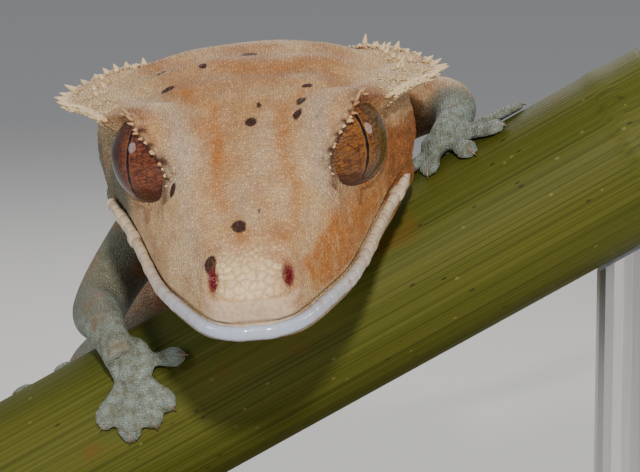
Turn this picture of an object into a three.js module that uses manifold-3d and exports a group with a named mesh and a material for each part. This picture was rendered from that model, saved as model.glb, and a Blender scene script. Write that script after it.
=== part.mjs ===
// A crested gecko, life size, crouched crosswise on a short length of green cane that a plain stand holds up.
// Millimetres, +Z up. The gecko faces -Y, +X is on its left, and the origin lies on the underside of the base.
import * as THREE from 'three';
import { mergeVertices } from 'three/addons/utils/BufferGeometryUtils.js';
import Module from 'manifold-3d';

const wasm = await Module();
wasm.setup();

// Gap between neighbouring pieces
const GAP = 0.3;

// Cane and stand
const PERCH_HEIGHT = 50;
const PERCH_RADIUS = 7.05;
const PERCH_SLOPE = 29.5;
const PERCH_FROM = -36;
const PERCH_TO = 38;
const ROD_RADIUS = 2;
const ROD_AT = [-26, 33];
const BASE_SIZE = [98, 112, 6];
const BASE_CENTRE = [2, 24];
const BASE_CORNER = 14;
const BOSS_RADIUS = 4.5;
const BOSS_HEIGHT = 3;

// Head: the tip of the snout from the middle of the cane, how far the nose points down, and how far the head rolls
const SNOUT = new THREE.Vector3(-0.4, -30.6, PERCH_HEIGHT + 8.5);
const HEAD_PITCH = 17;
const HEAD_ROLL = 5.3;

// Eyes, in head lengths: back from the snout, out from the middle, up from the mouth line
const EYE = { back: 15.3, out: 6.6, up: 6.65, radius: 3.7 };
const EYE_AXIS = { forward: 0.56, out: 0.8, up: 0.2 };
const LID = { radius: 3.6, thickness: 0.48, along: 1.65 };

// Length of the lower jaw, and the height of the mouth line along it
const JAW_LENGTH = 21.5;
const MOUTH_LINE = [[-3, 0.1], [3, 0], [8, -0.35], [14, -0.1], [18, 0.5], [JAW_LENGTH, 1.1]];

const SKIN = { color: 0xc9a27c, roughness: 0.7, metalness: 0 };
const LIMB = { color: 0xb9ab94, roughness: 0.7, metalness: 0 };
const EYEBALL = { color: 0x6e3d1d, roughness: 0.15, metalness: 0 };
const CANE = { color: 0x5d6a20, roughness: 0.45, metalness: 0 };
const STAND = { color: 0x2b2b2d, roughness: 0.4, metalness: 0 };
const ROD = { color: 0xb8babd, roughness: 0.3, metalness: 1 };

const degrees = THREE.MathUtils.degToRad;
const clamp = THREE.MathUtils.clamp;

// A closed geometry as a solid that can be joined and cut
function solid(geometry) {
  const bare = geometry.clone();
  bare.deleteAttribute('normal');
  bare.deleteAttribute('uv');
  const merged = mergeVertices(bare, 1e-4);
  return new wasm.Manifold(new wasm.Mesh({
    numProp: 3,
    vertProperties: new Float32Array(merged.attributes.position.array),
    triVerts: new Uint32Array(merged.index.array),
  }));
}

// The largest closed surface of a solid
function largest(body) {
  const pieces = body.decompose();
  pieces.sort((a, b) => b.volume() - a.volume());
  return pieces[0];
}

function mesh(name, body, look) {
  const { vertProperties, triVerts, numProp } = largest(body).getMesh();
  const geometry = new THREE.BufferGeometry();
  const points = new Float32Array(vertProperties.length / numProp * 3);
  for (let i = 0; i < points.length / 3; i += 1) {
    for (let k = 0; k < 3; k += 1) {
      points[3 * i + k] = vertProperties[numProp * i + k];
    }
  }
  geometry.setAttribute('position', new THREE.BufferAttribute(points, 3));
  geometry.setIndex(new THREE.BufferAttribute(new Uint32Array(triVerts), 1));
  geometry.computeVertexNormals();
  const piece = new THREE.Mesh(geometry, new THREE.MeshStandardMaterial(look));
  piece.name = name;
  return piece;
}

// Smooth value of one column of a table at x, where the first column is x
function along(table, column, x) {
  const last = table.length - 1;
  let i = 0;
  while (i < last - 1 && x > table[i + 1][0]) {
    i += 1;
  }
  const before = table[Math.max(i - 1, 0)];
  const a = table[i];
  const b = table[i + 1];
  const after = table[Math.min(i + 2, last)];
  const span = b[0] - a[0];
  const t = clamp((x - a[0]) / span, 0, 1);
  const rise = (b[column] - a[column]) / span;
  const slopeA = i === 0 ? rise : (b[column] - before[column]) / (b[0] - before[0]);
  const slopeB = i + 2 > last ? rise : (after[column] - a[column]) / (after[0] - a[0]);
  const t2 = t * t;
  const t3 = t2 * t;
  return (2 * t3 - 3 * t2 + 1) * a[column] + (t3 - 2 * t2 + t) * span * slopeA
    + (3 * t2 - 2 * t3) * b[column] + (t3 - t2) * span * slopeB;
}

// A point of a rounded outline: half width, top and bottom about a middle height, and how square it is
function outline(angle, width, top, bottom, middle, square) {
  const c = Math.cos(angle);
  const s = Math.sin(angle);
  const power = 2 / square;
  const x = width * Math.sign(c) * Math.abs(c) ** power;
  const y = middle + (s > 0 ? top - middle : middle - bottom) * Math.sign(s) * Math.abs(s) ** power;
  return [x, y];
}

// A closed skin of rings: a cylinder whose every ring is laid where place(u, angle) says, u running from 0 to 1
function loft(rings, sides, place) {
  const geometry = new THREE.CylinderGeometry(1, 1, 1, sides, rings);
  geometry.deleteAttribute('normal');
  geometry.deleteAttribute('uv');
  const merged = mergeVertices(geometry, 1e-5);
  const position = merged.attributes.position;
  const centre = new THREE.Vector3();
  for (let i = 0; i < position.count; i += 1) {
    const u = 0.5 - position.getY(i);
    const x = position.getX(i);
    const z = position.getZ(i);
    if (Math.hypot(x, z) > 0.5) {
      const point = place(u, Math.atan2(z, x));
      position.setXYZ(i, point.x, point.y, point.z);
    } else {
      centre.set(0, 0, 0);
      for (let k = 0; k < sides; k += 1) {
        centre.addScaledVector(place(u, 2 * Math.PI * k / sides), 1 / sides);
      }
      position.setXYZ(i, centre.x, centre.y, centre.z);
    }
  }
  const body = solid(merged);
  if (body.volume() > 0) {
    return body;
  }
  const index = merged.index.array;
  for (let i = 0; i < index.length; i += 3) {
    [index[i + 1], index[i + 2]] = [index[i + 2], index[i + 1]];
  }
  return solid(merged);
}

// Head frame to the world: back from the snout, out to the gecko's left, up from the mouth line
const headTurn = new THREE.Matrix4()
  .makeRotationX(degrees(HEAD_PITCH))
  .multiply(new THREE.Matrix4().makeRotationY(degrees(-HEAD_ROLL)));

function headPoint(back, out, up) {
  return new THREE.Vector3(out, back, up).applyMatrix4(headTurn).add(SNOUT);
}

function headDirection(forward, out, up) {
  return new THREE.Vector3(out, -forward, up).applyMatrix4(headTurn).normalize();
}

// Along the cane, round it (0 faces forward, 90 is its upper side) and out from its middle line
const caneAxis = new THREE.Vector3(Math.cos(degrees(PERCH_SLOPE)), 0, Math.sin(degrees(PERCH_SLOPE)));
const caneUp = new THREE.Vector3(-caneAxis.z, 0, caneAxis.x);

function canePoint(at, round, out) {
  return new THREE.Vector3(0, 0, PERCH_HEIGHT)
    .addScaledVector(caneAxis, at)
    .addScaledVector(new THREE.Vector3(0, -1, 0), out * Math.cos(degrees(round)))
    .addScaledVector(caneUp, out * Math.sin(degrees(round)));
}

// Cane: a straight stem with two faint rings where leaves once grew
const CANE_PROFILE = [
  [0, 1], [0.04, 1], [0.055, 1.02], [0.07, 1], [0.93, 1], [0.945, 1.02], [0.96, 1], [1, 1],
];

function cane(grow) {
  const sides = 40;
  return loft(7, sides, (u, angle) => {
    const step = CANE_PROFILE[Math.round(u * 7)];
    const at = PERCH_FROM - grow + (PERCH_TO - PERCH_FROM + 2 * grow) * step[0];
    return canePoint(at, angle * 180 / Math.PI, (PERCH_RADIUS * step[1] + grow));
  });
}

// Head stations: back from the snout, half width, top, bottom, height of the widest place, squareness
const HEAD = [
  [0.0, 1.9, 1.9, -0.5, 0.7, 2.3],
  [0.7, 2.9, 2.9, -1.5, 0.5, 2.4],
  [2.0, 3.9, 3.8, -2.2, 0.4, 2.4],
  [4.5, 5.2, 4.9, -2.8, 0.2, 2.3],
  [8.0, 6.8, 6.5, -3.1, 0.2, 2.3],
  [11.5, 7.9, 8.1, -3.4, 0.4, 2.4],
  [15.0, 8.9, 9.6, -3.7, 0.9, 2.6],
  [18.5, 10.2, 10.5, -4.1, 1.8, 2.7],
  [22.0, 11.7, 11.0, -4.5, 2.8, 2.7],
  [24.5, 12.2, 11.0, -4.6, 3.2, 2.6],
  [27.0, 11.5, 10.2, -4.4, 3.0, 2.5],
  [29.0, 9.6, 8.8, -3.6, 2.6, 2.3],
  [30.2, 7.2, 7.4, -2.6, 2.4, 2.1],
];
const HEAD_LENGTH = 30.2;

function headLoft(grow, rings, sides) {
  return loft(rings, sides, (u, angle) => {
    const back = HEAD_LENGTH * u ** 1.35;
    const [x, y] = outline(
      angle,
      along(HEAD, 1, back) + grow,
      along(HEAD, 2, back) + grow,
      along(HEAD, 3, back) - grow,
      along(HEAD, 4, back),
      along(HEAD, 5, back),
    );
    return headPoint(back, x, y);
  });
}

// The brow and crest on the left side: back, out, up, half width, rise over this line and depth below it
const CREST = [
  [11.3, 6.0, 6.6, 0.7, 0.5, 1.0],
  [12.4, 6.9, 8.6, 1.1, 0.6, 1.6],
  [14.0, 7.5, 9.3, 1.6, 0.65, 2.0],
  [16.3, 8.5, 9.3, 1.8, 0.7, 2.0],
  [19.0, 9.4, 8.9, 2.1, 0.75, 1.8],
  [22.0, 10.3, 8.3, 2.6, 0.75, 1.3],
  [24.5, 10.9, 7.6, 3.0, 0.75, 1.0],
  [26.6, 10.7, 7.3, 2.7, 0.7, 0.9],
  [28.2, 9.3, 7.6, 1.9, 0.65, 0.9],
  [29.4, 7.5, 7.5, 1.2, 0.6, 0.9],
];
// How far the outer edge of the crest is thinned
const CREST_TAPER = 0.45;

function crestAt(side, u) {
  const places = CREST.map((row) => headPoint(row[0], side * row[1], row[2]));
  const curve = new THREE.CatmullRomCurve3(places);
  const x = curve.getUtoTmapping(u) * (CREST.length - 1);
  const table = CREST.map((row, i) => [i, row[3], row[4], row[5]]);
  return {
    point: curve.getPointAt(u),
    tangent: curve.getTangentAt(u),
    width: along(table, 1, x),
    rise: along(table, 2, x),
    depth: along(table, 3, x),
  };
}

function crestRidge(side) {
  return loft(18, 8, (u, angle) => {
    const { point, tangent, width, rise, depth } = crestAt(side, u);
    const up = headDirection(0, 0, 1);
    const out = new THREE.Vector3().crossVectors(tangent, up).normalize().multiplyScalar(side);
    const lift = new THREE.Vector3().crossVectors(out, tangent).normalize().multiplyScalar(side);
    const across = Math.cos(angle);
    const over = Math.sin(angle);
    const taper = 1 - CREST_TAPER * Math.max(across, 0);
    return point
      .addScaledVector(out, width * across)
      .addScaledVector(lift, (over > 0 ? rise : depth) * over * taper);
  });
}

// A tapered spine with its root sunk into what it grows from
function spine(root, direction, radius, length) {
  const sunk = 0.5;
  const geometry = new THREE.ConeGeometry(radius, length + sunk, 4, 1);
  geometry.translate(0, (length + sunk) / 2 - sunk, 0);
  const turn = new THREE.Quaternion().setFromUnitVectors(new THREE.Vector3(0, 1, 0), direction.clone().normalize());
  geometry.applyQuaternion(turn);
  geometry.translate(root.x, root.y, root.z);
  return solid(geometry);
}

// Repeatable draws between -1 and 1
function draws(seed) {
  let state = seed;
  return () => {
    state = (state * 16807) % 2147483647;
    return state / 1073741823.5 - 1;
  };
}

// Spines along the crest: short over the eye, longest at the rear corner, with an upper row behind the eye
// from, to, corner and upper are shares of the crest's length
const CREST_SPINES = {
  count: 17,
  from: 0.22,
  to: 0.98,
  corner: 0.72,
  spread: 0.16,
  upper: 0.55,
  short: 0.6,
  long: 1.35,
  radius: 0.4,
};

function crestSpines(side) {
  const draw = draws(side > 0 ? 71 : 37);
  const spines = [];
  const { count, from, to, corner, spread, upper, short, long, radius } = CREST_SPINES;
  for (let i = 0; i < count; i += 1) {
    const u = from + (to - from) * i / (count - 1);
    const { point, tangent, width, rise } = crestAt(side, u);
    const up = headDirection(0, 0, 1);
    const flat = new THREE.Vector3().crossVectors(tangent, up).normalize().multiplyScalar(side);
    const near = Math.exp(-(((u - corner) / spread) ** 2));
    const rear = 3.2 * Math.max(0, u - corner - 0.02);
    const length = short + long * near * (0.75 + 0.3 * draw());
    const lean = flat.clone()
      .addScaledVector(up, 0.2 + 0.2 * draw() + 1.3 * rear)
      .addScaledVector(tangent, 0.25 * draw());
    const root = point.clone().addScaledVector(flat, width * 0.86);
    spines.push(spine(root, lean, radius + 0.16 * near, length));
    if (u > upper) {
      const high = point.clone().addScaledVector(up, rise * 0.6).addScaledVector(flat, width * 0.25);
      const way = up.clone().addScaledVector(flat, 0.5).addScaledVector(tangent, 0.2 * draw());
      spines.push(spine(high, way, radius, short + 0.6 * Math.min(1, rear)));
    }
  }
  return spines;
}

function eyeCentre(side) {
  return headPoint(EYE.back, side * EYE.out, EYE.up);
}

function eyeAxis(side) {
  return headDirection(EYE_AXIS.forward, side * EYE_AXIS.out, EYE_AXIS.up);
}

function ball(centre, radius, around, down) {
  const geometry = new THREE.SphereGeometry(radius, around, down);
  geometry.translate(centre.x, centre.y, centre.z);
  return solid(geometry);
}

// The ring of skin round the eye, where other lizards have lids
function lidRing(side) {
  const geometry = new THREE.TorusGeometry(LID.radius, LID.thickness, 5, 18);
  geometry.applyQuaternion(new THREE.Quaternion().setFromUnitVectors(new THREE.Vector3(0, 0, 1), eyeAxis(side)));
  const centre = eyeCentre(side).addScaledVector(eyeAxis(side), LID.along);
  geometry.translate(centre.x, centre.y, centre.z);
  return solid(geometry);
}

// Lashes: a fan of short spines on the upper half of the ring
function lashes(side) {
  const axis = eyeAxis(side);
  const up = headDirection(0.25, 0, 1);
  const rise = up.clone().addScaledVector(axis, -up.dot(axis)).normalize();
  const across = new THREE.Vector3().crossVectors(axis, rise).multiplyScalar(side);
  const spines = [];
  const count = 7;
  for (let i = 0; i < count; i += 1) {
    const angle = degrees(-62 + 118 * i / (count - 1));
    const radial = rise.clone().multiplyScalar(Math.cos(angle)).addScaledVector(across, Math.sin(angle));
    const root = eyeCentre(side)
      .addScaledVector(axis, LID.along + 0.35)
      .addScaledVector(radial, LID.radius + 0.25);
    spines.push(spine(root, radial.clone().addScaledVector(axis, 0.7), 0.34, 0.75));
  }
  return spines;
}

// An egg-shaped hollow or bump in the head, given by its half sizes back, out and up
function headEgg(back, out, up, sizes, tilt) {
  const geometry = new THREE.SphereGeometry(1, 8, 6);
  geometry.scale(sizes[1], sizes[0], sizes[2]);
  geometry.rotateX(degrees(tilt));
  geometry.translate(out, back, up);
  geometry.applyMatrix4(headTurn);
  geometry.translate(SNOUT.x, SNOUT.y, SNOUT.z);
  return solid(geometry);
}

// The space of the lower jaw, seen from the side, as a thick plate across the head
function jawSpace(lift, length) {
  const shape = new THREE.Shape();
  shape.moveTo(-3, -9);
  MOUTH_LINE.forEach(([back, up]) => shape.lineTo(Math.min(back, length), up + lift));
  shape.lineTo(length, -9);
  const thick = 34;
  const geometry = new THREE.ExtrudeGeometry(shape, { depth: thick, bevelEnabled: false });
  geometry.translate(0, 0, -thick / 2);
  const turn = new THREE.Matrix4().makeBasis(
    new THREE.Vector3(0, 1, 0),
    new THREE.Vector3(0, 0, 1),
    new THREE.Vector3(1, 0, 0),
  );
  geometry.applyMatrix4(turn);
  geometry.applyMatrix4(headTurn);
  geometry.translate(SNOUT.x, SNOUT.y, SNOUT.z);
  return solid(geometry);
}

// How far the lip of the lower jaw stands out past the upper lip
const LIP = 0.45;

function jaw() {
  const body = loft(18, 26, (u, angle) => {
    const back = -0.35 + (JAW_LENGTH + 2.35) * u ** 1.35;
    const at = Math.max(back, 0);
    const [x, y] = outline(
      angle,
      along(HEAD, 1, at) + LIP,
      1.6,
      along(HEAD, 3, at),
      along(MOUTH_LINE, 1, at) - 0.6,
      2.3,
    );
    return headPoint(back, x, y);
  });
  return body.intersect(jawSpace(-GAP, JAW_LENGTH - GAP));
}

function head() {
  let body = headLoft(0, 22, 30);
  for (const side of [-1, 1]) {
    body = body.add(crestRidge(side)).add(lidRing(side));
    for (const piece of [...crestSpines(side), ...lashes(side)]) {
      body = body.add(piece);
    }
    body = body.subtract(ball(eyeCentre(side), EYE.radius + GAP, 16, 10));
    body = body.subtract(headEgg(1.3, side * 2.75, 2.75, [0.7, 0.4, 0.55], 30));
    body = body.subtract(headEgg(26.2, side * 12.1, 2.4, [0.75, 1.0, 1.25], 0));
  }
  return body.subtract(jawSpace(0, JAW_LENGTH));
}

// Spine of the body from the back of the head to the tip of the tail: x, y, z, half width, half height, roll
const BODY = [
  [-0.5, -9.0, 69.0, 7.0, 6.0, 6],
  [-0.4, -3.0, 67.4, 7.5, 6.1, 9],
  [-0.2, 3.0, 65.4, 8.2, 6.2, 14],
  [0.0, 10.0, 63.2, 9.6, 6.8, 19],
  [0.0, 19.0, 60.0, 10.8, 7.4, 22],
  [0.2, 28.0, 57.6, 11.3, 7.9, 23],
  [0.5, 37.0, 54.6, 10.4, 7.6, 23],
  [0.6, 45.5, 51.2, 8.3, 6.7, 22],
  [0.6, 52.5, 48.0, 5.9, 5.4, 18],
  [0.7, 59.0, 45.2, 4.3, 4.2, 12],
  [1.4, 67.0, 42.4, 3.5, 3.4, 6],
  [3.4, 77.0, 39.4, 2.9, 2.8, 0],
  [7.6, 88.0, 36.6, 2.35, 2.25, -4],
  [14.0, 98.5, 35.0, 1.85, 1.75, -8],
  [22.0, 107.0, 34.4, 1.5, 1.35, -8],
  [30.0, 112.5, 35.6, 1.7, 1.05, -6],
  [36.5, 115.0, 38.4, 1.9, 0.8, -4],
  [40.0, 115.6, 41.4, 0.9, 0.5, -4],
];
const bodyCurve = new THREE.CatmullRomCurve3(BODY.map((row) => new THREE.Vector3(row[0], row[1], row[2])));
const BODY_LENGTH = bodyCurve.getLength();
bodyCurve.arcLengthDivisions = 600;

// Middle line, directions and half sizes of the body at u, from 0 at the head to 1 at the tip of the tail
function bodyAt(u) {
  const t = bodyCurve.getUtoTmapping(u);
  const x = t * (BODY.length - 1);
  const table = BODY.map((row, i) => [i, row[3], row[4], row[5]]);
  const tangent = bodyCurve.getTangent(t);
  const roll = degrees(along(table, 3, x));
  const side = new THREE.Vector3(Math.cos(roll), 0, Math.sin(roll));
  side.addScaledVector(tangent, -side.dot(tangent)).normalize();
  const up = new THREE.Vector3().crossVectors(side, tangent).normalize();
  return { point: bodyCurve.getPoint(t), tangent, side, up, width: along(table, 1, x), height: along(table, 2, x) };
}

function bodyLoft(from, to, grow, rings, sides) {
  return loft(rings, sides, (u, angle) => {
    const { point, side, up, width, height } = bodyAt(from + (to - from) * u);
    const [x, y] = outline(angle, width + grow, height + grow, -(height * 0.95 + grow), -0.08 * height, 2.15);
    return point.addScaledVector(side, x).addScaledVector(up, y);
  });
}

// Where the body is divided, as shares of its length
const NECK_END = 0.085;
const TORSO_END = 0.44;
const TAIL_CUTS = [0.6, 0.8];
const CUT = GAP / BODY_LENGTH;

// Two rows of small spines down the back, from the neck to the root of the tail
function backSpines(from, to, count, seed) {
  const draw = draws(seed);
  const spines = [];
  for (const side of [-1, 1]) {
    for (let i = 0; i < count; i += 1) {
      const { point, tangent, side: across, up, width, height } = bodyAt(from + (to - from) * i / (count - 1));
      const angle = degrees(57);
      const out = across.clone().multiplyScalar(side * Math.cos(angle)).addScaledVector(up, Math.sin(angle));
      const root = point
        .addScaledVector(across, side * Math.cos(angle) * width * 1.0)
        .addScaledVector(up, Math.sin(angle) * height * 1.0);
      out.addScaledVector(tangent, 0.35 + 0.2 * draw());
      spines.push(spine(root, out, 0.55, 0.75 + 0.25 * draw()));
    }
  }
  return spines;
}

function joined(body, extras) {
  return extras.reduce((sum, extra) => sum.add(extra), body);
}

// A limb: points from the body outwards with the limb's radius at each
const LIMBS = {
  arm_right: {
    points: [[-5.5, 6.5, 62.0], [-8.6, 7.4, 60.0], [-12.0, 5.8, 56.2], [-13.9, 3.0, 53.0], [-13.5, -1.2, 52.9],
      [-12.4, -4.6, 52.0], [-11.4, -6.6, 50.6]],
    radii: [3.2, 2.9, 2.35, 2.15, 1.85, 1.45, 1.3],
    middle: 0.56,
    names: ['upper_arm_right', 'forearm_right'],
  },
  arm_left: {
    points: [[5.5, 6.5, 66.0], [8.3, 8.0, 67.3], [11.2, 8.9, 68.5], [13.8, 8.0, 69.3], [15.2, 5.6, 69.3],
      [15.1, 2.5, 68.5], [14.2, -0.6, 67.4]],
    radii: [3.2, 2.9, 2.35, 2.15, 1.85, 1.45, 1.3],
    middle: 0.57,
    names: ['upper_arm_left', 'forearm_left'],
  },
  leg_right: {
    points: [[-3.6, 46.5, 49.6], [-8.0, 43.0, 46.6], [-12.4, 38.4, 44.2], [-15.2, 33.6, 42.4], [-16.4, 27.6, 42.2],
      [-16.6, 19.4, 42.4], [-15.7, 9.6, 42.6]],
    radii: [4.2, 3.9, 3.2, 2.6, 2.3, 1.75, 1.4],
    middle: 0.52,
    names: ['thigh_right', 'shin_right'],
  },
  leg_left: {
    points: [[5.0, 46.5, 52.6], [9.4, 43.0, 54.0], [13.8, 38.4, 56.6], [16.8, 33.6, 59.0], [17.8, 27.6, 60.4],
      [17.6, 19.4, 60.2], [16.4, 9.6, 59.4]],
    radii: [4.2, 3.9, 3.2, 2.6, 2.3, 1.75, 1.4],
    middle: 0.52,
    names: ['thigh_left', 'shin_left'],
  },
};

function limbLoft(limb, from, to, grow, rings) {
  const curve = new THREE.CatmullRomCurve3(limb.points.map((p) => new THREE.Vector3(...p)));
  const table = limb.radii.map((radius, i) => [i, radius]);
  const hint = new THREE.Vector3(0, 0, 1);
  return loft(rings, 12, (u, angle) => {
    const t = curve.getUtoTmapping(from + (to - from) * u);
    const tangent = curve.getTangent(t);
    const side = new THREE.Vector3().crossVectors(tangent, hint).normalize();
    const up = new THREE.Vector3().crossVectors(side, tangent);
    const radius = along(table, 1, t * (limb.radii.length - 1)) + grow;
    return curve.getPoint(t)
      .addScaledVector(side, radius * Math.cos(angle))
      .addScaledVector(up, 1.08 * radius * Math.sin(angle));
  });
}

// Feet. at and round place the middle of the palm on the cane, and each toe has a heading (0 runs up the cane,
// 90 runs round it from the front towards the top), a length and the width of its pad
const FEET = {
  hand_right: {
    at: -9.2,
    round: 44,
    palm: [1.9, 2.1, 1.0],
    toes: [[-18, 4.3, 1.6], [-74, 4.7, 1.75], [-97, 5.2, 1.85], [-121, 6.0, 1.9], [-145, 5.6, 1.75]],
    onto: 'forearm_right',
  },
  hand_left: {
    at: 20.8,
    round: 94,
    palm: [1.9, 2.1, 1.0],
    toes: [[-160, 4.4, 1.6], [-122, 4.2, 1.75], [-66, 4.4, 1.8], [-28, 5.6, 1.9], [2, 7.0, 1.9]],
    onto: 'forearm_left',
  },
  foot_right: {
    at: -17.6,
    round: 172,
    palm: [2.2, 2.5, 1.15],
    toes: [[10, 5.2, 1.7], [-38, 6.4, 1.9], [-74, 7.2, 2.0], [-112, 7.4, 2.0], [-160, 6.0, 1.8]],
    onto: 'shin_right',
  },
  foot_left: {
    at: 17.8,
    round: 178,
    palm: [2.2, 2.5, 1.15],
    toes: [[168, 5.2, 1.7], [-140, 6.4, 1.9], [-104, 7.2, 2.0], [-66, 7.4, 2.0], [-14, 6.0, 1.8]],
    onto: 'shin_left',
  },
};

// A point beside a foot's middle, x up the cane and y round it, at a height over its surface
function onCane(foot, x, y, height) {
  return canePoint(foot.at + x, foot.round + y / PERCH_RADIUS * 180 / Math.PI, PERCH_RADIUS + GAP + height);
}

const TOE_SIDES = 8;
const PAD = [[0, 0.72, 0.62], [0.35, 0.62, 0.5], [0.55, 0.72, 0.44], [0.72, 1.0, 0.4], [0.88, 1.0, 0.36], [1, 0.45, 0.2]];

function toe(foot, [heading, length, width]) {
  const direction = degrees(heading);
  return loft(7, TOE_SIDES, (u, angle) => {
    const distance = length * u;
    const half = width / 2 * along(PAD, 1, u);
    const thick = along(PAD, 2, u);
    const across = half * Math.cos(angle);
    const height = thick * (1 + Math.sin(angle));
    const x = distance * Math.cos(direction) - across * Math.sin(direction);
    const y = distance * Math.sin(direction) + across * Math.cos(direction);
    return onCane(foot, x, y, height);
  });
}

function claw(foot, [heading, length]) {
  const direction = degrees(heading);
  const step = length * 0.9;
  const root = onCane(foot, step * Math.cos(direction), step * Math.sin(direction), 0.62);
  const far = length + 0.7;
  const tip = onCane(foot, far * Math.cos(direction), far * Math.sin(direction), 0.5);
  return spine(root, tip.clone().sub(root), 0.25, tip.distanceTo(root));
}

function footBody(foot) {
  const [a, b, c] = foot.palm;
  const palm = loft(6, 10, (u, angle) => {
    const tilt = Math.PI * (0.06 + 0.88 * u);
    const ring = Math.sin(tilt);
    return onCane(foot, -a * Math.cos(tilt), b * ring * Math.cos(angle), c * (1 + ring * Math.sin(angle)));
  });
  const toes = foot.toes.flatMap((one) => [toe(foot, one), claw(foot, one)]);
  return joined(palm, toes);
}

function rods() {
  return ROD_AT.map((at) => {
    const place = canePoint(at, 0, 0);
    const bottom = BASE_SIZE[2] + GAP;
    const geometry = new THREE.CylinderGeometry(ROD_RADIUS, ROD_RADIUS, place.z - bottom, 16);
    geometry.rotateX(Math.PI / 2);
    geometry.translate(place.x, place.y, (place.z + bottom) / 2);
    return solid(geometry);
  });
}

function base() {
  const [wide, deep, thick] = BASE_SIZE;
  const shape = new THREE.Shape();
  const x = wide / 2 - BASE_CORNER;
  const y = deep / 2 - BASE_CORNER;
  shape.absarc(x, y, BASE_CORNER, 0, Math.PI / 2);
  shape.absarc(-x, y, BASE_CORNER, Math.PI / 2, Math.PI);
  shape.absarc(-x, -y, BASE_CORNER, Math.PI, 1.5 * Math.PI);
  shape.absarc(x, -y, BASE_CORNER, 1.5 * Math.PI, 2 * Math.PI);
  const bevel = 0.8;
  const plate = new THREE.ExtrudeGeometry(shape, {
    depth: thick - 2 * bevel,
    bevelEnabled: true,
    bevelThickness: bevel,
    bevelSize: bevel,
    bevelOffset: -bevel,
    bevelSegments: 1,
    curveSegments: 6,
  });
  plate.translate(BASE_CENTRE[0], BASE_CENTRE[1], bevel);
  let body = solid(plate);
  for (const at of ROD_AT) {
    const place = canePoint(at, 0, 0);
    const boss = new THREE.CylinderGeometry(BOSS_RADIUS - 0.7, BOSS_RADIUS, BOSS_HEIGHT + 1, 20);
    boss.rotateX(Math.PI / 2);
    boss.translate(place.x, place.y, thick + (BOSS_HEIGHT - 1) / 2);
    const bore = new THREE.CylinderGeometry(ROD_RADIUS + GAP, ROD_RADIUS + GAP, 2 * BOSS_HEIGHT, 16);
    bore.rotateX(Math.PI / 2);
    bore.translate(place.x, place.y, thick + BOSS_HEIGHT);
    body = body.add(solid(boss)).subtract(solid(bore));
  }
  return body;
}

const gecko = new THREE.Group();
const perch = cane(0);
const perchSpace = cane(GAP);
const headSpace = headLoft(GAP, 20, 26);
const torsoSpace = bodyLoft(NECK_END, TORSO_END, GAP, 24, 22);

gecko.add(mesh('head', head(), SKIN));
gecko.add(mesh('lower_jaw', jaw(), SKIN));
for (const [side, name] of [[1, 'eye_left'], [-1, 'eye_right']]) {
  gecko.add(mesh(name, ball(eyeCentre(side), EYE.radius, 16, 10), EYEBALL));
}

const neck = bodyLoft(0, NECK_END - CUT, 0, 6, 24);
gecko.add(mesh('neck', neck.subtract(headSpace).subtract(perchSpace), SKIN));
const torso = joined(bodyLoft(NECK_END, TORSO_END, 0, 24, 26), backSpines(NECK_END + 0.01, TORSO_END - 0.02, 15, 11));
gecko.add(mesh('torso', torso.subtract(perchSpace).subtract(headSpace), SKIN));
gecko.add(mesh('tail_root', bodyLoft(TORSO_END + CUT, TAIL_CUTS[0], 0, 9, 16), SKIN));
gecko.add(mesh('tail_middle', bodyLoft(TAIL_CUTS[0] + CUT, TAIL_CUTS[1], 0, 8, 14), SKIN));
gecko.add(mesh('tail_end', bodyLoft(TAIL_CUTS[1] + CUT, 1, 0, 10, 12), SKIN));

// Half the gap between the two lengths of a limb, as a share of the limb
const LIMB_SPLIT = 0.0095;
const lowerLimbs = {};
for (const limb of Object.values(LIMBS)) {
  const near = limb.middle - LIMB_SPLIT;
  const far = limb.middle + LIMB_SPLIT;
  const upper = limbLoft(limb, 0, near, 0, 8).subtract(torsoSpace).subtract(headSpace).subtract(perchSpace);
  const lower = limbLoft(limb, far, 1, 0, 8).subtract(headSpace).subtract(perchSpace);
  lowerLimbs[limb.names[1]] = limbLoft(limb, far, 1, GAP, 8);
  gecko.add(mesh(limb.names[0], upper, LIMB));
  gecko.add(mesh(limb.names[1], lower, LIMB));
}
for (const [name, foot] of Object.entries(FEET)) {
  const body = footBody(foot).subtract(lowerLimbs[foot.onto]);
  gecko.add(mesh(name, body, LIMB));
}

gecko.add(mesh('perch_cane', perch, CANE));
rods().forEach((rod, i) => {
  gecko.add(mesh(['stand_rod_low', 'stand_rod_high'][i], rod.subtract(perchSpace), ROD));
});
gecko.add(mesh('stand_base', base(), STAND));

export default gecko;
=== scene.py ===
# A crested gecko, life size, crouched crosswise on a length of green cane that a plain stand holds up.
# Shapes are worked out in millimetres, +Z up, and become metres when a mesh is made. The gecko faces -Y.
import math
import random
from itertools import product

import bmesh
import bpy
import numpy as np
from mathutils import Matrix, Vector, kdtree


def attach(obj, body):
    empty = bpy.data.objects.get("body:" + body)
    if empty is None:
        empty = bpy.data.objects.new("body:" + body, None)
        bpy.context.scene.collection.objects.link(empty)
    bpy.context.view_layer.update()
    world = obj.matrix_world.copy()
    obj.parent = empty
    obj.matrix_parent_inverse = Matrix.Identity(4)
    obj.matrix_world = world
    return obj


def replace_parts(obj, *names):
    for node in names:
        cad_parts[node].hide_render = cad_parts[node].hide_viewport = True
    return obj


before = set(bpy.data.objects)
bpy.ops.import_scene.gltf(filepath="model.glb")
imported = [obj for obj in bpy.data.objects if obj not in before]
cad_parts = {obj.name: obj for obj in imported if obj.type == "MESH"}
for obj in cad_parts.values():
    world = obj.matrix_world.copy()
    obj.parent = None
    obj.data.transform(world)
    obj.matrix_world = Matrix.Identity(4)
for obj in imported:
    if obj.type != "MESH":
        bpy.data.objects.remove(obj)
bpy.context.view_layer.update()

MM = 0.001
GAP = 0.3

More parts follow.
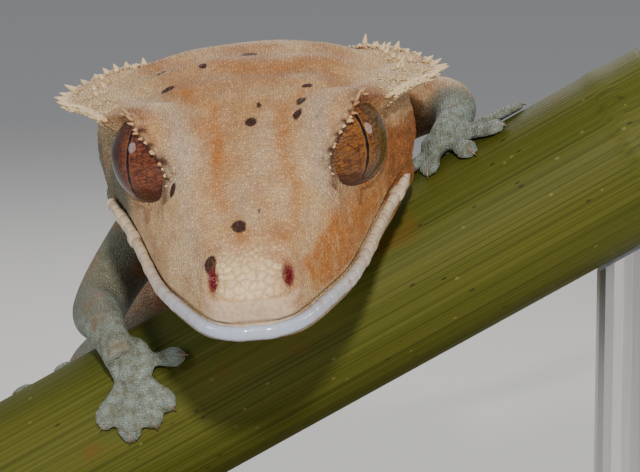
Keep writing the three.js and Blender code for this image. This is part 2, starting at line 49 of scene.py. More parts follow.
# Cane
PERCH_HEIGHT = 50.0
PERCH_RADIUS = 7.05
PERCH_SLOPE = math.radians(29.5)
PERCH_FROM = -36.0
PERCH_TO = 38.0

# Head: tip of the snout, how far the nose points down and how far the head rolls
SNOUT = np.array([-0.4, -30.6, PERCH_HEIGHT + 8.5])
HEAD_PITCH = math.radians(17)
HEAD_ROLL = math.radians(5.3)
HEAD_LENGTH = 30.2

# Eyes, in head lengths: back from the snout, out from the middle, up from the mouth line
EYE = np.array([15.3, 6.6, 6.65])
EYE_RADIUS = 3.7
EYE_AXIS = (0.56, 0.8, 0.2)
# Opening of the skin over the eye: turn round the eye's axis (0 up, 90 to the snout) and half angle, in degrees
EYE_RIM = np.array([
    [-180, 60], [-120, 58], [-60, 55], [-35, 50], [-11, 46], [12, 42], [35, 45], [58, 53],
    [78, 60], [100, 64], [120, 68], [137, 67], [158, 62], [180, 60],
], float)

# Lower jaw and the height of the mouth line along it
JAW_LENGTH = 21.5
LIP = 0.45
MOUTH_LINE = np.array([[-3, 0.1], [3, 0], [8, -0.35], [14, -0.1], [18, 0.5], [JAW_LENGTH, 1.1]], float)

# Head stations: back from the snout, half width, top, bottom, height of the widest place, squareness
HEAD = np.array([
    [0.0, 1.9, 1.9, -0.5, 0.7, 2.3],
    [0.7, 2.9, 2.9, -1.5, 0.5, 2.4],
    [2.0, 3.9, 3.8, -2.2, 0.4, 2.4],
    [4.5, 5.2, 4.9, -2.8, 0.2, 2.3],
    [8.0, 6.8, 6.5, -3.1, 0.2, 2.3],
    [11.5, 7.9, 8.1, -3.4, 0.4, 2.4],
    [15.0, 8.9, 9.6, -3.7, 0.9, 2.6],
    [18.5, 10.2, 10.5, -4.1, 1.8, 2.7],
    [22.0, 11.7, 11.0, -4.5, 2.8, 2.7],
    [24.5, 12.2, 11.0, -4.6, 3.2, 2.6],
    [27.0, 11.5, 10.2, -4.4, 3.0, 2.5],
    [29.0, 9.6, 8.8, -3.6, 2.6, 2.3],
    [30.2, 7.2, 7.4, -2.6, 2.4, 2.1],
])

# The brow and crest on the left side: back, out, up, half width, rise over its line and depth below it
CREST = np.array([
    [11.3, 6.0, 6.6, 0.7, 0.5, 1.0],
    [12.4, 6.9, 8.6, 1.1, 0.6, 1.6],
    [14.0, 7.5, 9.3, 1.6, 0.65, 2.0],
    [16.3, 8.5, 9.3, 1.8, 0.7, 2.0],
    [19.0, 9.4, 8.9, 2.1, 0.75, 1.8],
    [22.0, 10.3, 8.3, 2.6, 0.75, 1.3],
    [24.5, 10.9, 7.6, 3.0, 0.75, 1.0],
    [26.6, 10.7, 7.3, 2.7, 0.7, 0.9],
    [28.2, 9.3, 7.6, 1.9, 0.65, 0.9],
    [29.4, 7.5, 7.5, 1.2, 0.6, 0.9],
])

# Middle of the body from the back of the head to the tip of the tail: x, y, z, half width, half height, roll
BODY = np.array([
    [-0.5, -9.0, 69.0, 7.0, 6.0, 6],
    [-0.4, -3.0, 67.4, 7.5, 6.1, 9],
    [-0.2, 3.0, 65.4, 8.2, 6.2, 14],
    [0.0, 10.0, 63.2, 9.6, 6.8, 19],
    [0.0, 19.0, 60.0, 10.8, 7.4, 22],
    [0.2, 28.0, 57.6, 11.3, 7.9, 23],
    [0.5, 37.0, 54.6, 10.4, 7.6, 23],
    [0.6, 45.5, 51.2, 8.3, 6.7, 22],
    [0.6, 52.5, 48.0, 5.9, 5.4, 18],
    [0.7, 59.0, 45.2, 4.3, 4.2, 12],
    [1.4, 67.0, 42.4, 3.5, 3.4, 6],
    [3.4, 77.0, 39.4, 2.9, 2.8, 0],
    [7.6, 88.0, 36.6, 2.35, 2.25, -4],
    [14.0, 98.5, 35.0, 1.85, 1.75, -8],
    [22.0, 107.0, 34.4, 1.5, 1.35, -8],
    [30.0, 112.5, 35.6, 1.7, 1.05, -6],
    [36.5, 115.0, 38.4, 1.9, 0.8, -4],
    [40.0, 115.6, 41.4, 0.9, 0.5, -4],
])

# Limbs: x, y, z and radius from the body outwards
ARM_RADII = [3.2, 2.9, 2.35, 2.15, 1.85, 1.45, 1.3]
LEG_RADII = [4.2, 3.9, 3.2, 2.6, 2.3, 1.75, 1.4]
LIMBS = {
    "arm_right": ([[-5.5, 6.5, 62.0], [-8.6, 7.4, 60.0], [-12.0, 5.8, 56.2], [-13.9, 3.0, 53.0],
                   [-13.5, -1.2, 52.9], [-12.4, -4.6, 52.0], [-11.4, -6.6, 50.6]], ARM_RADII),
    "arm_left": ([[5.5, 6.5, 66.0], [8.3, 8.0, 67.3], [11.2, 8.9, 68.5], [13.8, 8.0, 69.3],
                  [15.2, 5.6, 69.3], [15.1, 2.5, 68.5], [14.2, -0.6, 67.4]], ARM_RADII),
    "leg_right": ([[-3.6, 46.5, 49.6], [-8.0, 43.0, 46.6], [-12.4, 38.4, 44.2], [-15.2, 33.6, 42.4],
                   [-16.4, 27.6, 42.2], [-16.6, 19.4, 42.4], [-15.7, 9.6, 42.6]], LEG_RADII),
    "leg_left": ([[5.0, 46.5, 52.6], [9.4, 43.0, 54.0], [13.8, 38.4, 56.6], [16.8, 33.6, 59.0],
                  [17.8, 27.6, 60.4], [17.6, 19.4, 60.2], [16.4, 9.6, 59.4]], LEG_RADII),
}

# Feet: place of the palm along and round the cane (0 forward, 90 its upper side), half sizes of the palm,
# and each toe's heading (0 up the cane, 90 round it towards the top), length and width of pad
FOOT_GAP = 0.12
HAND_PALM = (1.9, 2.1, 1.0)
FOOT_PALM = (2.2, 2.5, 1.15)
FEET = {
    "hand_right": (-9.2, 44, HAND_PALM,
                   [[-18, 4.3, 1.6], [-74, 4.7, 1.75], [-97, 5.2, 1.85], [-121, 6.0, 1.9], [-145, 5.6, 1.75]]),
    "hand_left": (20.8, 94, HAND_PALM,
                  [[-160, 4.4, 1.6], [-122, 4.2, 1.75], [-66, 4.4, 1.8], [-28, 5.6, 1.9], [2, 7.0, 1.9]]),
    "foot_right": (-17.6, 172, FOOT_PALM,
                   [[10, 5.2, 1.7], [-38, 6.4, 1.9], [-74, 7.2, 2.0], [-112, 7.4, 2.0], [-160, 6.0, 1.8]]),
    "foot_left": (17.8, 178, FOOT_PALM,
                  [[168, 5.2, 1.7], [-140, 6.4, 1.9], [-104, 7.2, 2.0], [-66, 7.4, 2.0], [-14, 6.0, 1.8]]),
}
PAD = np.array([[0, 0.72, 0.62], [0.35, 0.62, 0.5], [0.55, 0.72, 0.44], [0.72, 1.0, 0.4], [0.88, 1.0, 0.36],
                [1, 0.45, 0.2]])

FLESH = [
    "head", "lower_jaw", "neck", "torso", "tail_root", "tail_middle", "tail_end",
    "upper_arm_right", "forearm_right", "upper_arm_left", "forearm_left",
    "thigh_right", "shin_right", "thigh_left", "shin_left",
    "hand_right", "hand_left", "foot_right", "foot_left",
]


# Smooth value of one column of a table at x, where the first column is x
def along(table, column, x):
    x = np.asarray(x, float)
    last = len(table) - 1
    i = np.clip(np.searchsorted(table[:, 0], x, side="left") - 1, 0, last - 1)
    a = table[i]
    b = table[i + 1]
    before = table[np.maximum(i - 1, 0)]
    after = table[np.minimum(i + 2, last)]
    span = b[..., 0] - a[..., 0]
    t = np.clip((x - a[..., 0]) / span, 0, 1)
    va = a[..., column]
    vb = b[..., column]
    rise = (vb - va) / span
    slope_a = np.where(i == 0, rise, (vb - before[..., column]) / (b[..., 0] - before[..., 0]))
    reach = np.where(i + 2 > last, 1, after[..., 0] - a[..., 0])
    slope_b = np.where(i + 2 > last, rise, (after[..., column] - va) / reach)
    t2 = t * t
    t3 = t2 * t
    return ((2 * t3 - 3 * t2 + 1) * va + (t3 - 2 * t2 + t) * span * slope_a
            + (3 * t2 - 2 * t3) * vb + (t3 - t2) * span * slope_b)


def unit(v):
    return v / np.maximum(np.linalg.norm(v, axis=-1, keepdims=True), 1e-9)


def bell(x, width):
    return np.exp(-(np.asarray(x) / width) ** 2)


def step(x, low, high):
    t = np.clip((np.asarray(x) - low) / (high - low), 0, 1)
    return t * t * (3 - 2 * t)


# Distance of places from a middle on one side of the head, counted in half sizes of an egg round it
def egg(places, side, middle, sizes):
    middle = (middle[0], side * middle[1], middle[2])
    return np.sqrt(sum(((p - m) / s) ** 2 for p, m, s in zip(places, middle, sizes)))


# A smooth curve through points, as the solids use it, with places given as shares of its length
class Curve:
    def __init__(self, points, samples=900):
        p = np.asarray(points, float)
        self.count = len(p)
        ends = np.vstack([2 * p[0] - p[1], p, 2 * p[-1] - p[-2]])
        self.t = np.linspace(0, 1, samples)
        x = self.t * (self.count - 1)
        i = np.minimum(x.astype(int), self.count - 2)
        w = (x - i)[:, None]
        p0, p1, p2, p3 = (ends[i + k] for k in range(4))
        d0, d1, d2 = (np.sqrt(np.linalg.norm(b - a, axis=1, keepdims=True))
                      for a, b in ((p0, p1), (p1, p2), (p2, p3)))
        m1 = ((p1 - p0) / d0 - (p2 - p0) / (d0 + d1) + (p2 - p1) / d1) * d1
        m2 = ((p2 - p1) / d1 - (p3 - p1) / (d1 + d2) + (p3 - p2) / d2) * d1
        self.points = (p1 + m1 * w + (-3 * p1 + 3 * p2 - 2 * m1 - m2) * w ** 2
                       + (2 * p1 - 2 * p2 + m1 + m2) * w ** 3)
        self.tangents = unit(np.gradient(self.points, axis=0))
        steps = np.linalg.norm(np.diff(self.points, axis=0), axis=1)
        self.length = steps.sum()
        self.share = np.concatenate([[0], np.cumsum(steps)]) / self.length

    def index(self, u):
        return np.interp(u, self.share, self.t) * (self.count - 1)

    def read(self, values, u):
        x = np.interp(u, self.share, self.t)
        return np.stack([np.interp(x, self.t, values[:, k]) for k in range(3)], axis=-1)

    def at(self, u):
        return self.read(self.points, u)

    def tangent(self, u):
        return unit(self.read(self.tangents, u))


# Head frame: (back, out, up) from the tip of the snout, to the world and back again
def turn_x(a):
    return np.array([[1, 0, 0], [0, math.cos(a), -math.sin(a)], [0, math.sin(a), math.cos(a)]])


def turn_y(a):
    return np.array([[math.cos(a), 0, math.sin(a)], [0, 1, 0], [-math.sin(a), 0, math.cos(a)]])


HEAD_TURN = turn_x(HEAD_PITCH) @ turn_y(-HEAD_ROLL)


def head_point(back, out, up):
    local = np.stack(np.broadcast_arrays(out, back, up), axis=-1).astype(float)
    return local @ HEAD_TURN.T + SNOUT


def head_direction(forward, out, up):
    return unit(np.array([out, -forward, up], float) @ HEAD_TURN.T)


def head_places(points):
    local = (points - SNOUT) @ HEAD_TURN
    return local[:, 1], local[:, 0], local[:, 2]


# Places on the cane: along it, round it in degrees and out from its middle line
CANE_AXIS = np.array([math.cos(PERCH_SLOPE), 0, math.sin(PERCH_SLOPE)])
CANE_UP = np.array([-CANE_AXIS[2], 0, CANE_AXIS[0]])
CANE_FRONT = np.array([0, -1, 0])


def cane_point(at, turn, out):
    at, turn, out = (np.asarray(v, float)[..., None] for v in (at, turn, out))
    turn = np.radians(turn)
    return (np.array([0, 0, PERCH_HEIGHT]) + CANE_AXIS * at
            + CANE_FRONT * out * np.cos(turn) + CANE_UP * out * np.sin(turn))


def outline(angle, width, top, bottom, middle, square):
    c = np.cos(angle)
    s = np.sin(angle)
    x = width * np.sign(c) * np.abs(c) ** (2 / square)
    y = middle + np.where(s > 0, top - middle, middle - bottom) * np.sign(s) * np.abs(s) ** (2 / square)
    return x, y


# A closed skin of rings: place(u, angle) gives its points, u running from 0 to 1
def loft(rings, sides, place):
    u, angle = np.meshgrid(np.linspace(0, 1, rings + 1), np.arange(sides) * 2 * math.pi / sides, indexing="ij")
    points = place(u.ravel(), angle.ravel())
    grid = np.arange((rings + 1) * sides).reshape(rings + 1, sides)
    a = grid[:-1]
    b = grid[1:]
    faces = np.stack([a, np.roll(a, -1, 1), np.roll(b, -1, 1), b], axis=-1).reshape(-1, 4).tolist()
    faces.append(grid[0, ::-1].tolist())
    faces.append(grid[-1].tolist())
    return points, faces


def joined(parts):
    points = []
    faces = []
    start = 0
    for p, f in parts:
        points.append(p)
        faces.extend([[i + start for i in face] for face in f])
        start += len(p)
    return np.vstack(points), faces


def make_mesh(name, points, faces):
    mesh = bpy.data.meshes.new(name)
    mesh.from_pydata((np.asarray(points) * MM).tolist(), [], faces)
    mesh.validate()
    return mesh


def in_scene(obj):
    bpy.context.scene.collection.objects.link(obj)
    return obj


def make_object(name, mesh, material):
    obj = in_scene(bpy.data.objects.new(name, mesh))
    mesh.polygons.foreach_set("use_smooth", [True] * len(mesh.polygons))
    mesh.materials.append(material)
    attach(obj, "root")
    return obj


def positions(mesh):
    flat = np.empty(len(mesh.vertices) * 3)
    mesh.vertices.foreach_get("co", flat)
    return flat.reshape(-1, 3) / MM


def set_positions(mesh, points):
    mesh.vertices.foreach_set("co", (points * MM).ravel())
    mesh.update()


def normals(mesh):
    flat = np.empty(len(mesh.vertices) * 3)
    mesh.vertex_normals.foreach_get("vector", flat)
    return flat.reshape(-1, 3)


def edges(mesh):
    flat = np.empty(len(mesh.edges) * 2, int)
    mesh.edges.foreach_get("vertices", flat)
    return flat.reshape(-1, 2)


# Evens out a mesh without shrinking it; weight says how much each point may move
def smooth(mesh, rounds, weight=None):
    points = positions(mesh)
    pairs = edges(mesh)
    both = np.concatenate([pairs, pairs[:, ::-1]])
    count = np.bincount(both[:, 0], minlength=len(points)).clip(1)[:, None]
    share = 1 if weight is None else weight[:, None]
    for _ in range(rounds):
        for force in (0.5, -0.52):
            around = [np.bincount(both[:, 0], points[both[:, 1], k], len(points)) for k in range(3)]
            points = points + share * force * (np.stack(around, 1) / count - points)
    set_positions(mesh, points)


# Shells of the body

def head_shell():
    def place(u, angle):
        back = HEAD_LENGTH * u ** 1.2
        x, y = outline(angle, *(along(HEAD, k, back) for k in range(1, 6)))
        return head_point(back, x, y)
    return loft(150, 160, place)


def jaw_shell():
    def place(u, angle):
        back = -0.35 + (JAW_LENGTH + 2.35) * u ** 1.35
        at = np.maximum(back, 0)
        lip = LIP * (1 - step(back, JAW_LENGTH - 4, JAW_LENGTH + 1))
        top = along(MOUTH_LINE, 1, at) - GAP
        x, y = outline(angle, along(HEAD, 1, at) + lip, top, along(HEAD, 3, at), top - 0.5, 2.3)
        return head_point(back, x, y)
    return loft(110, 120, place)


crest_curves = {side: Curve([head_point(row[0], side * row[1], row[2]) for row in CREST]) for side in (-1, 1)}
CREST_INDEX = np.column_stack([np.arange(len(CREST)), CREST[:, 3:]])
CREST_CORNER = 0.14
CREST_CORNER_AT = 0.71


# Point, tangent, outward and upward directions and half sizes of the crest at u
def crest_at(side, u):
    curve = crest_curves[side]
    tangent = curve.tangent(u)
    up = head_direction(0, 0, 1)
    out = unit(np.cross(tangent, up)) * side
    lift = unit(np.cross(out, tangent)) * side
    width, rise, depth = (along(CREST_INDEX, k, curve.index(u)) for k in (1, 2, 3))
    width = width * (1 + CREST_CORNER * bell(u - CREST_CORNER_AT, 0.13))
    return curve.at(u), tangent, out, lift, width, rise, depth


# Offsets of the crest's section at an angle, where 0 is its sharp outer edge and 90 its top
def crest_section(angle, width, rise, depth):
    x = width * np.cos(angle)
    y = np.where(np.sin(angle) > 0, rise, depth) * np.sin(angle) * (1 - 0.45 * np.clip(np.cos(angle), 0, 1))
    return x, y


def crest_shell(side):
    def place(u, angle):
        point, _, out, lift, width, rise, depth = crest_at(side, u)
        shrink = np.sqrt(np.clip(1 - (2 * u - 1) ** 8, 0.02, 1))
        x, y = crest_section(angle, width * shrink, rise * shrink, depth * shrink)
        return point + out * x[:, None] + lift * y[:, None]
    return loft(90, 36, place)


body_curve = Curve(BODY[:, :3], 1600)
BODY_INDEX = np.column_stack([np.arange(len(BODY)), BODY[:, 3:]])


def body_at(u):
    x = body_curve.index(u)
    point = body_curve.at(u)
    tangent = body_curve.tangent(u)
    roll = np.radians(along(BODY_INDEX, 3, x))
    side = np.stack([np.cos(roll), 0 * roll, np.sin(roll)], -1)
    side = unit(side - tangent * (side * tangent).sum(-1, keepdims=True))
    up = np.cross(side, tangent)
    return point, tangent, side, up, along(BODY_INDEX, 1, x), along(BODY_INDEX, 2, x)


def body_shell():
    def place(u, angle):
        point, _, side, up, width, height = body_at(u)
        x, y = outline(angle, width, height, -0.95 * height, -0.08 * height, 2.15)
        return point + side * x[:, None] + up * y[:, None]
    return loft(420, 90, place)


def limb_shell(points, radii):
    curve = Curve(points)
    table = np.column_stack([np.arange(len(radii)), radii])

    def place(u, angle):
        tangent = curve.tangent(u)
        side = unit(np.cross(tangent, [0, 0, 1]))
        up = np.cross(side, tangent)
        radius = along(table, 1, curve.index(u))[:, None]
        return curve.at(u) + radius * (side * np.cos(angle)[:, None] + up * 1.08 * np.sin(angle)[:, None])
    return loft(90, 32, place)


# A place near a foot: x along the cane and y round it from the middle of the palm, height over the cane's skin
def on_cane(foot, x, y, height):
    return cane_point(foot[0] + x, foot[1] + np.degrees(y / PERCH_RADIUS), PERCH_RADIUS + FOOT_GAP + height)


def toe_shell(foot, heading, length, width):
    turn = math.radians(heading)

    def place(u, angle):
        half = width / 2 * along(PAD, 1, u)
        thick = along(PAD, 2, u) * 1.12
        across = half * np.cos(angle)
        x = length * u * math.cos(turn) - across * math.sin(turn)
        y = length * u * math.sin(turn) + across * math.cos(turn)
        return on_cane(foot, x, y, thick * (1 + np.sin(angle)))
    return loft(40, 24, place)


def palm_shell(foot):
    a, b, c = foot[2]

    def place(u, angle):
        tilt = math.pi * (0.04 + 0.92 * u)
        ring = np.sin(tilt)
        return on_cane(foot, -a * np.cos(tilt), b * ring * np.cos(angle), c * (1 + ring * np.sin(angle)))
    return loft(30, 30, place)


# Eyes: middle, axis and the turn and half angle of points about that axis

def eye_centre(side):
    return head_point(EYE[0], side * EYE[1], EYE[2])


def eye_frame(side):
    axis = head_direction(EYE_AXIS[0], side * EYE_AXIS[1], EYE_AXIS[2])
    up = head_direction(0.25, 0, 1)
    rise = unit(up - axis * (up @ axis))
    return axis, rise, np.cross(axis, rise) * side


def eye_angles(side, points):
    axis, rise, across = eye_frame(side)
    offset = points - eye_centre(side)
    radius = np.linalg.norm(offset, axis=1)
    ray = offset / radius[:, None]
    half = np.degrees(np.arccos(np.clip(ray @ axis, -1, 1)))
    turn = np.degrees(np.arctan2(ray @ across, ray @ rise))
    return radius, half, turn, ray


def eye_direction(side, turn, half):
    axis, rise, across = eye_frame(side)
    turn = np.radians(turn)[..., None]
    half = np.radians(half)[..., None]
    return axis * np.cos(half) + (rise * np.cos(turn) + across * np.sin(turn)) * np.sin(half)


def rim_half(turn):
    return along(EYE_RIM, 1, turn)


# Marks on the head, each by its place back from the snout and out to the gecko's left, with half sizes and turn

SPOTS = [
    (22.9, 0.3, 0.75, 0.35, 0), (22.1, -6.4, 0.5, 0.25, 25), (19.7, -5.9, 0.55, 0.4, 10),
    (21.5, -3.2, 0.3, 0.3, 0), (18.0, 4.7, 0.45, 0.22, 20), (15.9, 4.2, 0.42, 0.5, 0),
    (14.4, 3.9, 0.42, 0.5, 0), (16.1, 1.0, 0.2, 0.3, 0), (14.6, 0.4, 0.45, 0.42, 0),
    (10.5, -5.6, 0.28, 0.4, 0), (5.3, -0.7, 0.6, 0.6, 30), (6.6, 0.8, 0.14, 0.2, 0), (2.7, -2.85, 0.5, 0.55, 0),
]
ORANGE = [
    ([(19.0, -5.3), (17.0, -3.6), (16.0, -2.5), (12.5, -2.0), (8.8, -2.2), (6.9, -1.4), (4.4, -0.6)],
     0.75, 1.0),
    ([(14.5, -3.4), (11.0, -3.3), (8.0, -3.6), (6.0, -3.2)], 0.8, 0.45),
    ([(17.5, 4.8), (15.5, 3.0), (12.0, 2.8), (8.2, 3.6), (5.2, 3.1), (4.0, 2.2)], 0.8, 0.8),
    ([(10.0, 6.0), (8.8, 6.6), (7.0, 6.2), (5.5, 5.3)], 0.6, 1.0),
    ([(16.5, 9.4), (13.0, 8.4), (10.1, 7.3), (6.0, 5.7), (3.4, 4.4)], 0.55, 1.3),
    ([(24.0, -8.0), (22.4, -3.5), (20.3, 0.4), (21.4, 5.6), (23.0, 8.0)], 0.9, 0.5),
    ([(9.9, 1.7), (8.3, 0.6), (6.2, 1.4)], 0.7, 0.3),
]
LILAC = [
    ([(14.2, -5.4), (12.6, -5.0), (11.0, -5.4)], 0.9, 0.9),
    ([(14.2, 5.6), (13.1, 5.3), (11.2, 5.3), (9.8, 5.6)], 0.9, 1.0),
    ([(12.8, -3.9), (9.0, -4.6), (6.0, -4.2), (3.4, -3.9)], 0.9, 0.5), ([(13.6, 0.9), (10.4, 1.0)], 0.9, 0.45),
    ([(9.0, -0.2), (6.5, -0.3)], 1.1, 0.45), ([(19.5, -7.8), (17.6, -6.8)], 1.2, 0.5),
]
# Nostrils and ears on the head's left: place, and half sizes of the hollow and of the red round a nostril
NOSTRIL = (1.75, 2.7, 2.95)
NOSTRIL_SIZE = (0.7, 0.34, 1.2)
NOSTRIL_RED = (0.85, 0.40, 1.1)
EAR = (26.2, 12.1, 2.4)
EAR_SIZE = (0.8, 1.4, 1.3)
# Dark notches in the skin over each eye: turn round the eye, half width and depth, in degrees
RIM_NOTCHES = {
    -1: [(16, 6, 15), (40, 4, 10), (62, 8, 13), (82, 4, 8)],
    1: [(-22, 5, 13), (-4, 4, 10), (12, 4, 9), (28, 4, 10), (46, 4, 9), (64, 5, 9)],
}


# Nearness to a line of places, from 1 on it to 0 far off
def streak(places, width, back, out):
    best = np.full(len(back), 1e9)
    p = np.array(places, float)
    for a, b in zip(p[:-1], p[1:]):
        d = b - a
        t = np.clip(((back - a[0]) * d[0] + (out - a[1]) * d[1]) / (d @ d), 0, 1)
        best = np.minimum(best, np.hypot(back - a[0] - t * d[0], out - a[1] - t * d[1]))
    return bell(best, width)


def streaks(table, back, out):
    return sum(force * streak(places, width, back, out) for places, width, force in table)


# Smooth noise from a few waves, between about -1 and 1
def waves(points, size, seed):
    draw = random.Random(seed)
    total = np.zeros(len(points))
    for _ in range(7):
        d = np.array([draw.gauss(0, 1) for _ in range(3)])
        total += np.sin(points @ (d / size) + draw.uniform(0, 6.3) + 0.8 * total)
    return total / 4.5


# Masks of the markings at points of the head or body, by name
def markings(points):
    back, out, up = head_places(points)
    width = along(HEAD, 1, np.clip(back, 0, HEAD_LENGTH))
    mouth = along(MOUTH_LINE, 1, np.clip(back, -3, JAW_LENGTH))
    beside = step(np.abs(out) - width, 0.9, 1.9) * (1 - step(up, 3.0, 4.5))
    head = (1 - step(back, 25, 32)) * (1 - beside) * step(up, -6.5, -5.3)
    face = head * step(up, mouth + 0.2, mouth + 0.9)
    ragged = 0.5 * waves(points, 0.35, 3)
    spots = np.zeros(len(points))
    for b, o, wide, deep, turn in SPOTS:
        a = math.radians(turn)
        x = (out - o) * math.cos(a) + (back - b) * math.sin(a)
        y = (back - b) * math.cos(a) - (out - o) * math.sin(a)
        spots = np.maximum(spots, 1 - np.hypot(x / wide, y / deep) + 0.35 * ragged)
    spots = step(spots, 0.0, 0.12) * face
    flow = waves(points * [1, 0.3, 1], 0.8, 5)
    orange = np.clip(streaks(ORANGE, back, out) * (0.75 + 0.35 * flow), 0, 1.3) * face
    lilac = np.clip(streaks(LILAC, back, out) * (0.9 + 0.2 * flow), 0, 1) * face
    red = np.zeros(len(points))
    for side in (-1, 1):
        reach = egg((back, out, up), side, NOSTRIL, NOSTRIL_RED)
        red = np.maximum(red, 1 - step(reach + 0.2 * ragged, 0.6, 1.3))
    edge = 0.5 * waves(points, 0.9, 8)
    nose = head * (1 - step(back + edge, 1.9, 5.0)) * (1 - step(np.abs(out) + edge, 1.6, 3.0))
    nose *= step(up, 1.75, 2.2)
    rostral = head * (1 - step(up + 0.1 * edge, 1.75, 2.1)) * (1 - step(np.abs(out) + 0.5 * edge, 2.2, 4.2))
    lilac = np.maximum(lilac, 0.6 * rostral)
    crest = np.zeros(len(points))
    for side, curve in crest_curves.items():
        for u in np.linspace(0.5, 1.0, 26):
            far = np.linalg.norm(points - curve.at(u), axis=1)
            crest = np.maximum(crest, (1 - step(far + 0.8 * edge, 2.2, 4.2)) * step(u, 0.46, 0.62))
    cheek = head * step(back, 15.5, 18.5) * step(np.abs(out), width - 2.6, width - 1.4)
    cheek *= 1 - step(up, 6.5, 8.0)
    return {
        "head": head, "face": face, "spots": spots, "orange": np.minimum(orange, 1), "lilac": lilac, "red": red,
        "nose": nose, "rostral": rostral, "cheek": cheek * (out > 0), "ashy": cheek * (out < 0), "crest": crest,
    }


# Node graphs of the materials

class Graph:
    def __init__(self, name):
        self.material = bpy.data.materials.new(name)
        self.material.use_nodes = True
        self.tree = self.material.node_tree
        self.tree.nodes.clear()
        self.shader = self.node("ShaderNodeBsdfPrincipled")
        out = self.node("ShaderNodeOutputMaterial")
        self.tree.links.new(self.shader.outputs[0], out.inputs["Surface"])

    def node(self, kind, **settings):
        made = self.tree.nodes.new(kind)
        for key, value in settings.items():
            setattr(made, key, value)
        return made

    def feed(self, socket, value):
        if isinstance(value, bpy.types.NodeSocket):
            self.tree.links.new(value, socket)
        elif isinstance(value, (tuple, list)) and len(value) == 3 and socket.type == "RGBA":
            socket.default_value = (*value, 1)
        else:
            socket.default_value = value

    def set(self, **values):
        for key, value in values.items():
            self.feed(self.shader.inputs[key.replace("_", " ")], value)

    def math(self, operation, a, b=0.0):
        made = self.node("ShaderNodeMath", operation=operation)
        for socket, value in zip(made.inputs, (a, b)):
            self.feed(socket, value)
        return made.outputs[0]

    def times(self, a, b):
        return self.math("MULTIPLY", a, b)

    def plus(self, a, b):
        return self.math("ADD", a, b)

    def mix(self, share, a, b, blend="MIX"):
        made = self.node("ShaderNodeMix", data_type="RGBA", blend_type=blend)
        self.feed(made.inputs[0], share)
        self.feed(made.inputs[6], a)
        self.feed(made.inputs[7], b)
        return made.outputs[2]

    def ramp(self, value, low, high, start=0.0, end=1.0):
        made = self.node("ShaderNodeMapRange", interpolation_type="SMOOTHSTEP")
        for socket, number in zip(made.inputs, (value, low, high, start, end)):
            self.feed(socket, number)
        return made.outputs[0]

    def attribute(self, name, part=2):
        return self.node("ShaderNodeAttribute", attribute_name=name).outputs[part]

    def split(self, colour):
        made = self.node("ShaderNodeSeparateColor")
        self.feed(made.inputs[0], colour)
        return made.outputs

    def scaled(self, vector, scale, turn=(0, 0, 0)):
        made = self.node("ShaderNodeMapping")
        self.feed(made.inputs[0], vector)
        made.inputs["Rotation"].default_value = turn
        made.inputs["Scale"].default_value = scale
        return made.outputs[0]

    def noise(self, vector, scale, detail=3.0, rough=0.55):
        made = self.node("ShaderNodeTexNoise")
        self.feed(made.inputs["Vector"], vector)
        made.inputs["Scale"].default_value = scale
        made.inputs["Detail"].default_value = detail
        made.inputs["Roughness"].default_value = rough
        return made.outputs[0]

    def cells(self, vector, scale, feature="DISTANCE_TO_EDGE", uneven=1.0):
        made = self.node("ShaderNodeTexVoronoi", feature=feature)
        self.feed(made.inputs["Vector"], vector)
        made.inputs["Scale"].default_value = scale
        made.inputs["Randomness"].default_value = uneven
        return made.outputs

    def bump(self, height, distance, strength=1.0, normal=None):
        made = self.node("ShaderNodeBump")
        self.feed(made.inputs["Height"], height)
        made.inputs["Distance"].default_value = distance
        made.inputs["Strength"].default_value = strength
        if normal is not None:
            self.feed(made.inputs["Normal"], normal)
        return made.outputs[0]

    def place(self):
        return self.node("ShaderNodeTexCoord").outputs["Object"]


CREAM = (0.53, 0.39, 0.23)
TAN = (0.38, 0.21, 0.105)
OCHRE = (0.48, 0.32, 0.13)
CROWN_TINT = (0.30, 0.145, 0.055)
ORANGE_TINT = (0.36, 0.135, 0.025)
LILAC_TINT = (0.41, 0.35, 0.29)
PALE = (0.58, 0.44, 0.26)
SPOT_TINT = (0.030, 0.007, 0.003)
RED_TINT = (0.11, 0.006, 0.009)
GREY_TINT = (0.135, 0.145, 0.110)
HAND_TINT = (0.215, 0.275, 0.265)
CHEEK_TINT = (0.20, 0.068, 0.015)
LIP_TINT = (0.34, 0.385, 0.47)
BELLY_TINT = (0.36, 0.30, 0.20)
BODY_TINT = (0.25, 0.115, 0.045)
# Painted shade for the grooves between the head's larger scales
GROOVE_SHADE = (0.22, 0.10, 0.035)
RIM_TINT = (0.05, 0.012, 0.006)
# Skin granules to a millimetre
GRANULES = 4.7


